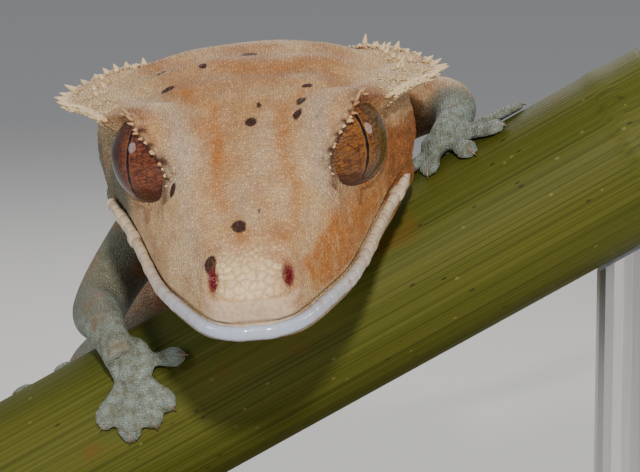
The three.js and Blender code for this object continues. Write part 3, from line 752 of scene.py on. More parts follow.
# The skin's colours, read from the masks that skin and coat carry alike
def skin_colours(g):
    place = g.place()
    marks = g.split(g.attribute("marks", 0))
    parts = g.split(g.attribute("parts", 0))
    looks = g.split(g.attribute("looks", 0))
    zones = g.split(g.attribute("zones", 0))
    broad = g.noise(place, 260, 4)
    fine = g.noise(place, 1400, 3)
    colour = g.mix(g.ramp(broad, 0.35, 0.68), CREAM, TAN)
    colour = g.mix(g.times(g.ramp(g.noise(place, 430, 4), 0.48, 0.66), 0.55), colour, OCHRE)
    body = g.mix(g.ramp(g.noise(place, 120, 5, 0.65), 0.42, 0.6), BODY_TINT, CREAM)
    colour = g.mix(parts[0], body, colour)
    colour = g.mix(g.times(zones[0], g.ramp(broad, 0.25, 0.6, 0.45, 0.9)), colour, CROWN_TINT)
    colour = g.mix(g.times(marks[0], g.ramp(fine, 0.25, 0.6, 0.55, 1.0)), colour, ORANGE_TINT)
    colour = g.mix(g.times(marks[1], 0.75), colour, LILAC_TINT)
    colour = g.mix(parts[1], colour, g.mix(g.ramp(broad, 0.5, 0.72), GREY_TINT, BODY_TINT))
    colour = g.mix(zones[1], colour, g.mix(g.ramp(fine, 0.35, 0.7), HAND_TINT, GREY_TINT))
    colour = g.mix(parts[2], colour, g.mix(g.ramp(fine, 0.4, 0.75), CHEEK_TINT, ORANGE_TINT))
    colour = g.mix(looks[0], colour, PALE)
    # Painted shade: the hollow above and behind each eye darkened to the cheek's brown
    colour = g.mix(zones[2], colour, CHEEK_TINT)
    colour = g.mix(looks[2], colour, BELLY_TINT)
    colour = g.mix(marks[2], colour, SPOT_TINT)
    return place, colour


def skin_material():
    g = Graph("gecko_skin")
    place, colour = skin_colours(g)
    flow = g.attribute("flow", 1)
    granules = g.cells(flow, GRANULES, uneven=0.8)[0]
    tone = g.split(g.cells(flow, GRANULES, "F1", 0.8)[1])[0]
    relief = g.ramp(granules, 0.0, 0.36)
    relief = g.mix(g.split(g.attribute("looks", 0))[1], relief, (1, 1, 1))
    colour = g.mix(1.0, colour, g.mix(g.ramp(tone, 0, 1), (0.88, 0.88, 0.88), (1.12, 1.11, 1.09)), "MULTIPLY")
    # Painted shade: each granule of the skin darker towards its edge, in the crevices between granules
    colour = g.mix(1.0, colour, g.mix(relief, (0.80, 0.72, 0.62), (1.04, 1.04, 1.04)), "MULTIPLY")
    # Painted shade in the grooves round the head's larger scales
    groove_shade = g.attribute("groove_shade")
    colour = g.mix(g.times(groove_shade, 0.5), colour, GROOVE_SHADE)
    colour = g.mix(g.attribute("red"), colour, RED_TINT)
    colour = g.mix(g.attribute("rim"), colour, RIM_TINT)
    normal = g.bump(relief, 0.00010, 0.8)
    normal = g.bump(g.noise(place, 5200, 2), 0.00003, 0.5, normal)
    wet = g.times(g.attribute("red"), 0.3)
    rough = g.math("SUBTRACT", g.ramp(relief, 0, 1, 0.66, 0.5), wet)
    g.set(Base_Color=colour, Roughness=rough, Normal=normal)
    g.set(Specular_IOR_Level=0.3, Subsurface_Weight=0.10, Subsurface_Scale=0.0005)
    g.set(Subsurface_Radius=(1.0, 0.45, 0.25))
    return g.material


def add_attribute(mesh, name, values, kind="FLOAT"):
    field = {"FLOAT": "value", "FLOAT_VECTOR": "vector", "FLOAT_COLOR": "color"}[kind]
    values = np.asarray(values, np.float32)
    mesh.attributes.new(name, kind, "POINT").data.foreach_set(field, values.ravel())


# Three masks in one colour
def add_masks(mesh, name, *masks):
    add_attribute(mesh, name, np.column_stack([*masks, np.ones(len(masks[0]))]), "FLOAT_COLOR")


LIMB_CURVES = {name: Curve(points) for name, (points, _) in LIMBS.items()}


# How much each point belongs to a limb or foot
def limb_share(points):
    best = np.full(len(points), 1e9)
    for name, curve in LIMB_CURVES.items():
        for u in np.linspace(0.8 if name == "arm_left" else 0.34, 1, 26):
            best = np.minimum(best, np.linalg.norm(points - curve.at(u), axis=1))
    return 1 - step(best, 2.4, 4.4)


# How much each point belongs to a hand or foot
def foot_share(points):
    best = np.full(len(points), 1e9)
    for foot in FEET.values():
        best = np.minimum(best, np.linalg.norm(points - on_cane(foot, 0, 0, 1.0), axis=1))
    offset = points - [0, 0, PERCH_HEIGHT]
    offset = offset - (offset @ CANE_AXIS)[:, None] * CANE_AXIS
    height = np.linalg.norm(offset, axis=1) - PERCH_RADIUS
    return (1 - step(best, 8.0, 10.0)) * (1 - step(height + 0.5 * waves(points, 1.2, 17), 2.6, 4.6))


# Masks of the dark rim round each eye and of the painted shade, brown, in the hollow above and behind it
def eye_surround(points):
    rim = np.zeros(len(points))
    hollow_shade = np.zeros(len(points))
    for s in (-1, 1):
        radius, half, turn, _ = eye_angles(s, points)
        past = half - rim_half(turn)
        near = radius < EYE_RADIUS + 1.5
        inner = bell(turn - 50, 75)
        notched = 0.0
        for at, wide, deep in RIM_NOTCHES[s]:
            notched = np.maximum(notched, bell(turn - at, wide) * (1 - step(past, deep * 0.5, deep)))
        line = bell(past - 0.5, 3.2) * (0.35 + 0.65 * inner)
        rim = np.maximum(rim, near * np.maximum(line, notched * (past > -3)))
        # Painted shade in the hollow above and behind the eye, just outside its rim
        hollow_shade = np.maximum(hollow_shade, near * bell(turn + 42, 30) * bell(past - 7, 12))
    return rim, 0.9 * hollow_shade


# Writes the masks of the markings at points into a mesh; pale and plain add to two of them
def paint(mesh, points, groove_shade=0.0, pale=0.0, plain=0.0):
    m = markings(points)
    back, out, up = head_places(points)
    off_head = 1 - m["head"]
    limb = np.clip(limb_share(points) * off_head + m["ashy"], 0, 1)
    under = (1 - step(up, -2.2, -0.4)) * m["head"]
    whitish = np.clip(np.maximum.reduce([0.55 * m["nose"], 0.15 * m["rostral"], 0.6 * m["crest"]]) + pale, 0, 1)
    plain = np.clip(np.maximum(m["nose"], m["rostral"]) + plain, 0, 1)
    crown = bell(back - 20.5, 3.6) * bell(out, 8.5) + 0.45 * bell(back - 15.5, 3.0) * bell(out - 0.5, 3.0)
    crown = np.clip(crown, 0, 1) * m["face"]
    rim, hollow_shade = eye_surround(points)
    add_masks(mesh, "marks", m["orange"], m["lilac"], m["spots"])
    add_masks(mesh, "parts", m["head"], limb, m["cheek"])
    add_masks(mesh, "looks", whitish, plain, under)
    add_masks(mesh, "zones", crown, foot_share(points) * off_head, hollow_shade * m["head"])
    add_attribute(mesh, "red", m["red"])
    add_attribute(mesh, "rim", rim)
    add_attribute(mesh, "groove_shade", np.zeros(len(points)) + groove_shade)
    add_attribute(mesh, "flow", np.column_stack([out, back * 0.6, up]), "FLOAT_VECTOR")


VOXEL = 0.25


# All the shells fused into one skin
def fused_skin():
    shells = [head_shell(), jaw_shell(), body_shell(), crest_shell(-1), crest_shell(1)]
    shells += [limb_shell(points, radii) for points, radii in LIMBS.values()]
    for foot in FEET.values():
        shells.append(palm_shell(foot))
        shells += [toe_shell(foot, *toe) for toe in foot[3]]
    points, faces = joined(shells)
    mesh = bpy.data.meshes.new("shells")
    mesh.from_pydata(points.tolist(), [], faces)
    obj = in_scene(bpy.data.objects.new("shells", mesh))
    remesh = obj.modifiers.new("fuse", "REMESH")
    remesh.mode = "VOXEL"
    remesh.voxel_size = VOXEL
    fused = bpy.data.meshes.new_from_object(obj.evaluated_get(bpy.context.evaluated_depsgraph_get()))
    bpy.data.objects.remove(obj)
    fused.transform(Matrix.Scale(MM, 4))
    fused.name = "gecko_skin"
    return fused


# Part of the head, back from the snout, whose mesh is made finer
FINE_FROM = -2
FINE_TO = 29.5


def refine_head(mesh):
    bm = bmesh.new()
    bm.from_mesh(mesh)
    centres = np.array([face.calc_center_median() for face in bm.faces]) / MM
    back, _, _ = head_places(centres)
    fine = [face for face, at in zip(bm.faces, back) if FINE_FROM < at < FINE_TO]
    fine_edges = list({edge for face in fine for edge in face.edges})
    bmesh.ops.subdivide_edges(bm, edges=fine_edges, cuts=1, use_grid_fill=True)
    bm.to_mesh(mesh)
    bm.free()
    mesh.update()


# Skin round an eye: how far off the ball it is moved, how deep it sinks in the opening, its least cover outside
SEAT_REACH = 3.5
SEAT_SUNK = 0.45
SEAT_COVER = 0.25


# Moves the skin near an eye so that it closes over the ball as a lidless rim
def seat_eye(points, side):
    radius, half, turn, ray = eye_angles(side, points)
    past = half - rim_half(turn)
    near = radius < EYE_RADIUS + SEAT_REACH
    inside = near & (past < -1.5)
    radius = np.where(inside, np.minimum(radius, EYE_RADIUS - SEAT_SUNK), radius)
    inner = bell(turn - 45, 95)
    lip = 0.22 + (0.12 + 0.4 * inner) * bell(past - 5.0, 5.0)
    reach = (EYE_RADIUS + lip) * (1 - step(past, 14, 34))
    cover = near & (past >= -1.5)
    over = radius - EYE_RADIUS - SEAT_COVER
    blend = 0.5 * step(past, 6, 20)
    floor = EYE_RADIUS + SEAT_COVER + 0.5 * (over + np.sqrt(over ** 2 + blend ** 2))
    radius = np.where(cover, np.maximum(floor, reach), radius)
    return eye_centre(side) + ray * radius[:, None]


def sculpt(mesh):
    points = positions(mesh)
    back, out, up = head_places(points)
    normal = normals(mesh)
    head = 1 - step(back, 27, 30)
    side = np.abs(out)
    top = head * step(up, 1.0, 2.5)
    lift = np.zeros(len(points))
    # Canthus from the nostril to the brow, with a shallow trough between the two
    ridge = np.interp(back, [2, 6, 10, 14], [2.3, 3.4, 4.6, 5.4])
    lift += top * 0.28 * bell(side - ridge, 0.9) * step(back, 1.5, 4) * (1 - step(back, 12, 15))
    lift -= top * 0.32 * bell(out, 2.2) * step(back, 5, 9) * (1 - step(back, 15, 18))
    # Swollen brow over each eye and a fold behind the crown
    lift += top * 0.22 * bell(side - 4.8, 1.6) * bell(back - 16, 3.4)
    lift += top * 0.12 * np.sin(back * 2.1 + 0.4 * np.sin(out * 0.8)) * step(back, 17, 20)
    # Cheek and the drawn-in line along the mouth
    mouth = along(MOUTH_LINE, 1, np.clip(back, -3, JAW_LENGTH))
    on_jaw = head * (1 - step(back, JAW_LENGTH - 1, JAW_LENGTH + 1))
    lift -= on_jaw * 0.3 * bell(up - mouth + 0.02, 0.22)
    # Nostrils and ear openings, each with a low rim
    for s in (-1, 1):
        reach = egg((back, out, up), s, NOSTRIL, NOSTRIL_SIZE)
        lift += head * (0.16 * bell(reach - 1.9, 0.7) - 0.65 * bell(reach, 0.75))
        reach = egg((back, out, up), s, EAR, EAR_SIZE)
        lift -= 1.3 * bell(reach, 0.8) - 0.15 * bell(reach - 1.6, 0.5)
    points = points + normal * lift[:, None]
    for s in (-1, 1):
        points = seat_eye(points, s)
    set_positions(mesh, points)


# Larger scales of the head: sizes, height of the relief and size of the cells that their seeds are sorted into
NOSE_SCALE = 0.72
CHEEK_SCALE = 0.62
FINE_SCALE = 0.42
SCALE_HEIGHT = 0.085
SCALE_STRETCH = np.array([1.0, 0.62, 0.85])
SCALE_CELL = 0.8
NEIGHBOURS = list(product((-1, 0, 1), repeat=3))


# Picks points in the given order and leaves out those too near to one already picked
def spread_seeds(order, local, size):
    taken = {}
    seeds = []
    for i in order:
        p = local[i]
        a, b, c = (p // SCALE_CELL).astype(int)
        least = size[i] * size[i] * 0.62
        near = (q for x, y, z in NEIGHBOURS for q in taken.get((a + x, b + y, c + z), ()))
        if all((p[0] - q[0]) ** 2 + (p[1] - q[1]) ** 2 + (p[2] - q[2]) ** 2 >= least for q in near):
            taken.setdefault((a, b, c), []).append(tuple(p))
            seeds.append(i)
    return seeds


# Raises the larger scales of the head, and gives each point's nearness to the edge of its scale, the mask of
# the painted shade in the grooves between them
def plate_relief(mesh):
    points = positions(mesh)
    back, out, up = head_places(points)
    m = markings(points)
    zone = np.nonzero((m["head"] > 0.5) & (up > 0.2) & (back < 29))[0]
    order = zone.tolist()
    random.Random(12).shuffle(order)
    nose = m["nose"] * (1 - m["rostral"])
    on_nose = nose > 0.3
    size = np.where(m["cheek"] > 0.4, CHEEK_SCALE, np.where(on_nose, NOSE_SCALE, FINE_SCALE))
    local = np.column_stack([out, back, up]) * np.where(on_nose[:, None], 1.0, SCALE_STRETCH)
    seeds = spread_seeds(order, local, size)
    tree = kdtree.KDTree(len(seeds))
    for k, i in enumerate(seeds):
        tree.insert(local[i], k)
    tree.balance()
    gap = np.zeros(len(points))
    for i in order:
        near = tree.find_n(local[i], 2)
        gap[i] = (near[1][2] - near[0][2]) / size[i]
    share = np.zeros(len(points))
    share[zone] = 1
    share *= (1 - m["rostral"]) * np.clip(0.35 + nose + 0.8 * (m["cheek"] + m["ashy"]), 0, 1)
    height = SCALE_HEIGHT * step(gap, 0.0, 0.5) * np.where(on_nose, 1.2, 0.7) * share
    set_positions(mesh, points + normals(mesh) * (height - 0.05 * share)[:, None])
    return (1 - step(gap, 0.02, 0.22)) * share


def skin_piece():
    mesh = fused_skin()
    smooth(mesh, 6)
    refine_head(mesh)
    back, _, _ = head_places(positions(mesh))
    smooth(mesh, 4, (back < 29).astype(float))
    sculpt(mesh)
    groove_shade = plate_relief(mesh)
    paint(mesh, positions(mesh), groove_shade)
    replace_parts(make_object("gecko_skin", mesh, skin_material()), *FLESH)


skin_piece()


# Coat: pointed scales, each a small cone of rings with its root sunk in the skin

# Rings of a scale: share of its length and of its width; TUFT is its size on the bake map
THORN = np.array([[-0.3, 0.9], [0.0, 1.0], [0.3, 0.92], [0.6, 0.62], [0.85, 0.3]])
THORN_SIDES = 6
TUFT = 0.003
THORN_TURN = np.arange(THORN_SIDES) * 2 * math.pi / THORN_SIDES
THORN_TIPS = np.append(np.repeat(np.maximum(THORN[:, 0], 0), THORN_SIDES), 1)


def thorn_faces():
    around = [(k, (k + 1) % THORN_SIDES) for k in range(THORN_SIDES)]
    starts = [ring * THORN_SIDES for ring in range(len(THORN))]
    faces = [(a + k, a + n, b + n, b + k) for a, b in zip(starts, starts[1:]) for k, n in around]
    faces += [(starts[-1] + k, starts[-1] + n, starts[-1] + THORN_SIDES) for k, n in around]
    return faces + [tuple(range(THORN_SIDES - 1, -1, -1))]


def thorn_map():
    circle = np.column_stack([np.cos(THORN_TURN), np.sin(THORN_TURN)]) * TUFT / 2
    return np.vstack([*(circle * share for share in THORN[:, 1]), [0, 0]])


class Coat:
    def __init__(self):
        self.scales = []
        self.roots = []
        self.places = []
        self.faces = thorn_faces()

    # A scale from its root along a direction; flat is the normal of the skin and bend curls the tip towards it
    def add(self, root, direction, flat, width, thick, length, bend, place=None):
        direction = unit(direction)
        across = unit(np.cross(direction, flat))
        lift = np.cross(across, direction)
        ring = across * np.cos(THORN_TURN)[:, None] * width + lift * np.sin(THORN_TURN)[:, None] * thick
        rows = [root + direction * length * t + lift * bend * length * max(t, 0) ** 2 + ring * share
                for t, share in THORN]
        tip = root + direction * length + lift * bend * length
        self.scales.append((np.vstack([*rows, tip]), self.faces))
        self.roots.append(root)
        self.places.append(head_map(root)[0] if place is None else place)

    def finish(self, name, material, pale):
        mesh = make_mesh(name, *joined(self.scales))
        paint(mesh, np.repeat(self.roots, len(THORN_TIPS), axis=0), pale=pale, plain=1.0)
        add_attribute(mesh, "tip", np.tile(THORN_TIPS, len(self.scales)))
        add_bake_map(mesh, (np.array(self.places)[:, None] + thorn_map()).reshape(-1, 2))
        make_object(name, mesh, material)


def add_bake_map(mesh, places):
    layer = mesh.uv_layers.new(name="OFBake")
    index = np.empty(len(mesh.loops), int)
    mesh.loops.foreach_get("vertex_index", index)
    layer.data.foreach_set("uv", np.clip(places[index], 0, 1).ravel())


# Place of head points on an unwrap of the head: round its length and back from the snout
def head_map(points):
    back, out, up = head_places(np.atleast_2d(points))
    turn = np.arctan2(out, up - 2.5) / (2 * math.pi) + 0.5
    return np.column_stack([0.01 + 0.98 * turn, 0.02 + 0.94 * (back + 1) / (HEAD_LENGTH + 3)])


def scale_material(name, tip_tint, gloss):
    g = Graph(name)
    place, colour = skin_colours(g)
    tip = g.attribute("tip")
    fine = g.noise(place, 2600, 2)
    colour = g.mix(g.times(tip, 0.7), colour, tip_tint)
    # Painted shade: each scale darker towards its root, where it meets the skin, and a little lighter towards
    # its tip
    root_shade = g.mix(g.ramp(tip, 0.0, 0.35), (0.74, 0.62, 0.50), (1.04, 1.04, 1.04))
    colour = g.mix(1.0, colour, root_shade, "MULTIPLY")
    colour = g.mix(g.times(g.attribute("rim"), 0.75), colour, (0.34, 0.15, 0.04))
    g.set(Base_Color=colour, Roughness=gloss, Normal=g.bump(fine, 0.00003, 0.4))
    g.set(Specular_IOR_Level=0.45, Subsurface_Weight=0.15, Subsurface_Scale=0.0005)
    g.set(Subsurface_Radius=(1.0, 0.5, 0.3))
    return g.material


crest_look = scale_material("crest_scales", (0.56, 0.44, 0.24), 0.5)
# Rows of fine scales along a crest, spikes on its edge, and taller ones on top of its rear part
CREST_ROWS = 62
CREST_SPIKES = 23
CREST_PEAKS = {-1: 6, 1: 10}


# Small pointed scales over the plate of the crest, longer near its edge
def crest_rows(coat, draw, side):
    for i in range(CREST_ROWS):
        u = 0.40 + 0.59 * (i + 0.4 * draw.random()) / CREST_ROWS
        corner = bell(u - 0.70, 0.17)
        for turn in range(-44, 100, 18):
            angle = math.radians(turn + draw.uniform(-9, 9))
            shift = u + draw.uniform(-0.4, 0.4) / CREST_ROWS
            point, tangent, out, lift, width, rise, depth = crest_at(side, shift)
            x, y = crest_section(angle, width, rise, depth)
            flat = unit(out * math.cos(angle) * rise + lift * math.sin(angle) * width)
            edge = bell(math.degrees(angle), 26)
            length = 0.10 + 0.10 * draw.random() + edge * (0.16 + 0.3 * corner * draw.random())
            way = out * 0.9 + lift * (0.02 + 0.12 * draw.random()) - tangent * draw.uniform(-0.4, 0.3)
            root = point + out * x + lift * y
            coat.add(root, way, flat, 0.13 + 0.11 * edge, 0.06 + 0.09 * edge, length, 0.08)


# Spikes on the edge of the crest, longest at its corner and turned up behind it
def crest_spikes(coat, draw, side):
    for i in range(CREST_SPIKES):
        u = 0.36 + 0.62 * i / (CREST_SPIKES - 1)
        corner = bell(u - CREST_CORNER_AT, 0.10)
        rear = max(0.0, u - 0.74) * 3.2
        point, tangent, out, lift, width, _, _ = crest_at(side, u)
        long = draw.random() ** 2
        length = 0.30 + 0.60 * long + 0.85 * corner * (0.5 + 0.6 * draw.random())
        way = out + lift * (0.1 + rear * 1.3 + 0.35 * draw.random()) + tangent * draw.uniform(-0.35, 0.35)
        root = point + out * width * 0.9 + lift * 0.08
        coat.add(root, way, lift, 0.28 + 0.10 * corner, 0.20 + 0.07 * corner, length, 0.1)


def crest_peaks(coat, draw, side):
    for i in range(CREST_PEAKS[side]):
        u = 0.66 + 0.30 * (i + 0.6 * draw.random()) / CREST_PEAKS[side]
        point, tangent, out, lift, width, rise, _ = crest_at(side, u)
        root = point + out * width * draw.uniform(0.1, 0.5) + lift * rise * 0.8
        way = lift * 1.2 + out * (0.3 + 0.5 * draw.random()) + tangent * draw.uniform(-0.3, 0.4)
        coat.add(root, way, out, 0.26, 0.2, 0.38 + 0.75 * draw.random() ** 2, 0.1)


def crest_coat(side, name):
    coat = Coat()
    draw = random.Random(71 if side > 0 else 37)
    for layer in (crest_rows, crest_spikes, crest_peaks):
        layer(coat, draw, side)
    coat.finish(name, crest_look, 0.2)


# Lashes: pointed scales on the rim over the eye, longest just behind its top; turns are round the eye's axis
LASHES = 15
LASH_TURNS = (-38, 92)
LONG_LASH = -18


def lash_coat(side, name):
    coat = Coat()
    draw = random.Random(5 if side > 0 else 9)
    first, last = LASH_TURNS
    for i in range(LASHES):
        turn = first + (last - first) * i / (LASHES - 1) + draw.uniform(-4, 4)
        half = rim_half(turn) + draw.uniform(2.5, 5.0)
        ray = eye_direction(side, turn, half)
        inner = eye_direction(side, turn, half - 8)
        long = bell(turn - LONG_LASH, 13)
        low = 0.55 + 0.45 * bell(turn - 20, 45)
        root = eye_centre(side) + ray * (EYE_RADIUS + 0.48)
        way = unit(inner - ray) * (0.95 - long) + ray * (0.6 + 0.8 * long)
        length = (0.34 + 0.32 * draw.random()) * low + 0.85 * long
        coat.add(root, way, ray, 0.15 + 0.09 * draw.random(), 0.12, length, 0.15)
    coat.finish(name, crest_look, 0.15)


for side, word in ((1, "left"), (-1, "right")):
    crest_coat(side, "crest_scales_" + word)
    lash_coat(side, "lash_scales_" + word)


# Row of scales along the edge of the lower jaw: smooth in front, bumpy towards the corner of the mouth

# How many, half height and half depth, and how far back the points of its path lie
LIP_SCALES = 47
LIP_HEIGHT = 0.54
LIP_DEPTH = 0.42
LIP_PLACES = np.array([0.1, 0.5, 1.2, 2.2, 3.6, 5.5, 8.0, 11.0, 14.0, 17.0, 19.5, 21.3])


def lip_path():
    wide = along(HEAD, 1, LIP_PLACES) + LIP - 0.18
    left, right = ([head_point(b, side * w, along(MOUTH_LINE, 1, b) - 0.5) for b, w in zip(LIP_PLACES, wide)]
                   for side in (1, -1))
    front = [head_point(-0.3, o, -0.45) for o in (-1.1, 0.0, 1.1)]
    return Curve(right[::-1] + front + left, 2400)


def lip_material():
    g = Graph("lip_scales")
    rear = g.attribute("rear")
    mottle = g.noise(g.place(), 900, 3)
    colour = g.mix(g.ramp(rear, 0.10, 0.7), LIP_TINT, (0.47, 0.37, 0.25))
    colour = g.mix(g.times(g.ramp(mottle, 0.5, 0.75), g.ramp(rear, 0.0, 0.4)), colour, (0.32, 0.22, 0.16))
    # Painted shade in the grooves between the lip's scales, stronger towards the corners of the mouth
    seam_shade = g.times(g.attribute("seam_shade"), g.ramp(rear, 0.18, 0.7, 0.06, 0.8))
    colour = g.mix(seam_shade, colour, (0.20, 0.12, 0.09))
    colour = g.mix(g.attribute("low"), colour, (0.20, 0.085, 0.05))
    g.set(Base_Color=colour, Roughness=g.ramp(rear, 0.1, 0.6, 0.20, 0.42), Normal=g.bump(mottle, 0.00003, 0.4))
    g.set(Specular_IOR_Level=0.5, Coat_Weight=0.35, Coat_Roughness=0.12, Subsurface_Weight=0.15)
    g.set(Subsurface_Scale=0.0006)
    return g.material


def lip_row(name):
    path = lip_path()
    draw = random.Random(4)
    tall, deep = ([draw.uniform(-1, 1) for _ in range(LIP_SCALES + 2)] for _ in range(2))
    up = head_direction(0, 0, 1)

    def place(u, angle):
        out = unit(np.cross(path.tangent(u), up))
        rear = np.abs(2 * u - 1)
        cell = np.floor(u * LIP_SCALES).astype(int)
        t = u * LIP_SCALES - cell
        dome = np.sqrt(np.clip(1 - (2 * t - 1) ** 4, 0, 1))
        grow = 1 - (0.035 + 0.34 * rear ** 1.6) * (1 - dome)
        low = 1 + (0.03 + 0.42 * rear ** 2) * np.take(tall, cell) * dome
        bulge = 1 + (0.02 + 0.42 * rear ** 2) * np.take(deep, cell) * dome
        grow *= np.clip(np.minimum(u, 1 - u) * 60, 0.05, 1)
        c = np.cos(angle)
        s = np.sin(angle)
        x = LIP_DEPTH * np.sign(c) * np.abs(c) ** 0.8 * grow * bulge
        y = LIP_HEIGHT * np.sign(s) * np.abs(s) ** 0.85 * grow * np.where(s < 0, low, 1)
        return path.at(u) + out * x[:, None] + up * y[:, None]
    rings = 1100
    sides = 24
    mesh = make_mesh(name, *loft(rings, sides, place))
    share = np.repeat(np.linspace(0, 1, rings + 1), sides)
    around = np.tile(np.arange(sides) / sides, rings + 1)
    cell_edge = 1 - np.abs(2 * ((share * LIP_SCALES) % 1) - 1)
    # Mask of the painted shade in the grooves between the lip's scales
    add_attribute(mesh, "seam_shade", 1 - step(cell_edge, 0.0, 0.22))
    add_attribute(mesh, "rear", np.abs(2 * share - 1))
    add_attribute(mesh, "low", step(-np.sin(around * 2 * math.pi), 0.35, 0.95))
    add_bake_map(mesh, np.column_stack([0.01 + 0.98 * share, 0.1 + 0.3 * around]))
    make_object(name, mesh, lip_material())


lip_row("lip_scales")


# Two rows of small spines down the back, each with a shorter one beside it

SPINES = 62
SPINE_TURN = 57


def back_coat(name):
    coat = Coat()
    draw = random.Random(21)
    for side in (-1, 1):
        for i in range(SPINES):
            u = 0.10 + 0.30 * (i + 0.3 * draw.random()) / SPINES
            point, tangent, across, up, width, height = body_at(u)
            for turn, size in ((SPINE_TURN, 1.0), (SPINE_TURN + draw.uniform(-9, 9), 0.55)):
                a = math.radians(turn)
                out = across * side * math.cos(a) + up * math.sin(a)
                root = point + across * side * math.cos(a) * width * 0.99 + up * math.sin(a) * height * 0.99
                way = out + tangent * (0.5 + 0.3 * draw.random())
                length = (0.75 + 0.35 * draw.random()) * size
                place = (0.5 + side * 0.2, u * 2)
                coat.add(root, way, out, 0.26 * size + 0.06, 0.2 * size + 0.05, length, 0.1, place)
    coat.finish(name, crest_look, 0.75)


back_coat("back_scales")


# Claws

def claw_coat(name):
    coat = Coat()
    for n, foot in enumerate(FEET.values()):
        for k, (heading, length, _) in enumerate(foot[3]):
            c = math.cos(math.radians(heading))
            s = math.sin(math.radians(heading))
            root = 0.93 * length
            tip = length + 0.4
            near = on_cane(foot, root * c, root * s, 0.55)
            far = on_cane(foot, tip * c, tip * s, 0.25)
            out = unit(near - cane_point(foot[0] + length * c, 0, 0))
            place = (0.2 * n + 0.1, 0.15 * k + 0.1)
            coat.add(near, far - near, out, 0.13, 0.15, np.linalg.norm(far - near), -0.2, place)
    g = Graph("claw_horn")
    g.set(Base_Color=g.mix(g.attribute("tip"), (0.22, 0.15, 0.10), (0.05, 0.03, 0.02)), Roughness=0.3)
    coat.finish(name, g.material, 0.0)


claw_coat("claws")


# Eyes

# Turn round the eye and half angle, in degrees, of the pupil's middle and of a place above it
SLIT_CENTRE = (62, 16)
SLIT_TOP = (0, 38)
# Half length and half width of the pupil, in radii of the eye
SLIT_LENGTH = 0.74
SLIT_WIDTH = 0.034
# Where the iris darkens towards its outer side, in radii from the slit
OUTER_FROM = 0.0
OUTER_TO = 0.45


def eye_material(name, side, bright, dull, outer, low_tint):
    g = Graph(name)
    place = g.place()
    unit_place = g.scaled(place, (1 / (EYE_RADIUS * MM),) * 3)
    xyz = g.node("ShaderNodeSeparateXYZ")
    g.feed(xyz.inputs[0], unit_place)
    x, y, z = xyz.outputs
    # x runs across the slit, y along it, z out of the eye
    wave = g.times(g.math("SINE", g.times(y, 21.0)), 0.007)
    bow = g.plus(x, g.times(g.times(y, y), 0.10))
    bent = g.plus(g.math("ABSOLUTE", bow), wave)
    ends = g.math("POWER", g.times(g.math("ABSOLUTE", y), 1 / SLIT_LENGTH), 5.0)
    opening = g.times(g.math("SUBTRACT", 1.0, ends), SLIT_WIDTH)
    inside = g.math("SUBTRACT", opening, bent)
    slit = g.ramp(inside, -0.010, 0.008)
    border = g.ramp(inside, -0.055, -0.02)
    warp = g.noise(unit_place, 3.0, 3)
    lines = g.node("ShaderNodeCombineXYZ")
    radial = g.math("SQRT", g.plus(g.times(x, x), g.times(y, y)))
    g.feed(lines.inputs[0], g.plus(g.times(x, 4.2), g.times(warp, 3.0)))
    g.feed(lines.inputs[1], g.plus(g.times(y, 10.0), g.times(warp, 2.0)))
    g.feed(lines.inputs[2], z)
    veins = g.cells(lines.outputs[0], 1.55)[0]
    vein = g.ramp(veins, 0.0, 0.17)
    vessels = g.cells(g.scaled(unit_place, (1.0, 0.8, 1.0), (0, 0, 0.5)), 2.2)[0]
    vessel = g.ramp(g.plus(vessels, g.times(warp, 0.03)), 0.012, 0.045)
    iris = g.mix(g.ramp(g.noise(unit_place, 5.0, 4), 0.35, 0.7), dull, bright)
    iris = g.mix(g.ramp(g.times(x, side), OUTER_FROM, OUTER_TO), iris, outer)
    colour = g.mix(g.times(g.math("SUBTRACT", 1.0, vein), 0.75), iris, (0.024, 0.006, 0.004))
    colour = g.mix(g.times(g.math("SUBTRACT", 1.0, vessel), 0.7), colour, (0.035, 0.006, 0.004))
    colour = g.mix(g.times(border, 0.5), colour, bright)
    rim = g.ramp(radial, 0.70, 0.95)
    colour = g.mix(rim, colour, (0.016, 0.006, 0.004))
    low = g.ramp(y, -0.35, -0.80)
    colour = g.mix(g.times(low, 0.6), colour, low_tint)
    colour = g.mix(slit, colour, (0.002, 0.001, 0.001))
    g.set(Base_Color=colour, Roughness=0.45, Specular_IOR_Level=0.1, Coat_Weight=0.7, Coat_Roughness=0.04)
    g.set(Coat_IOR=1.33, Normal=g.bump(vein, 0.00003, 0.4))
    return g.material


def eye_ball(side, node, material):
    z = eye_direction(side, *SLIT_CENTRE)
    top = eye_direction(side, *SLIT_TOP)
    y = unit(top - z * (top @ z))
    x = np.cross(y, z)
    mesh = bpy.data.meshes.new(node + "_ball")
    bm = bmesh.new()
    bmesh.ops.create_uvsphere(bm, u_segments=96, v_segments=64, radius=EYE_RADIUS * MM)
    bm.to_mesh(mesh)
    bm.free()
    obj = make_object(node + "_ball", mesh, material)
    turn = Matrix((x, y, z)).transposed()
    obj.matrix_world = Matrix.Translation(Vector(eye_centre(side) * MM)) @ turn.to_4x4()
    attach(obj, "root")
    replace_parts(obj, node)


# Side and material of each eye, and the tints of its iris: bright, dull, on the outer side and low down
EYES = {
    "eye_left": (1, "olive_eye", (0.22, 0.080, 0.014), (0.135, 0.050, 0.010), (0.095, 0.054, 0.009),
                 (0.055, 0.036, 0.038)),
    "eye_right": (-1, "copper_eye", (0.17, 0.050, 0.020), (0.10, 0.027, 0.012), (0.032, 0.011, 0.005),
                  (0.055, 0.026, 0.020)),
}
for node, (side, look, *tints) in EYES.items():
    eye_ball(side, node, eye_material(look, side, *tints))


# Cane

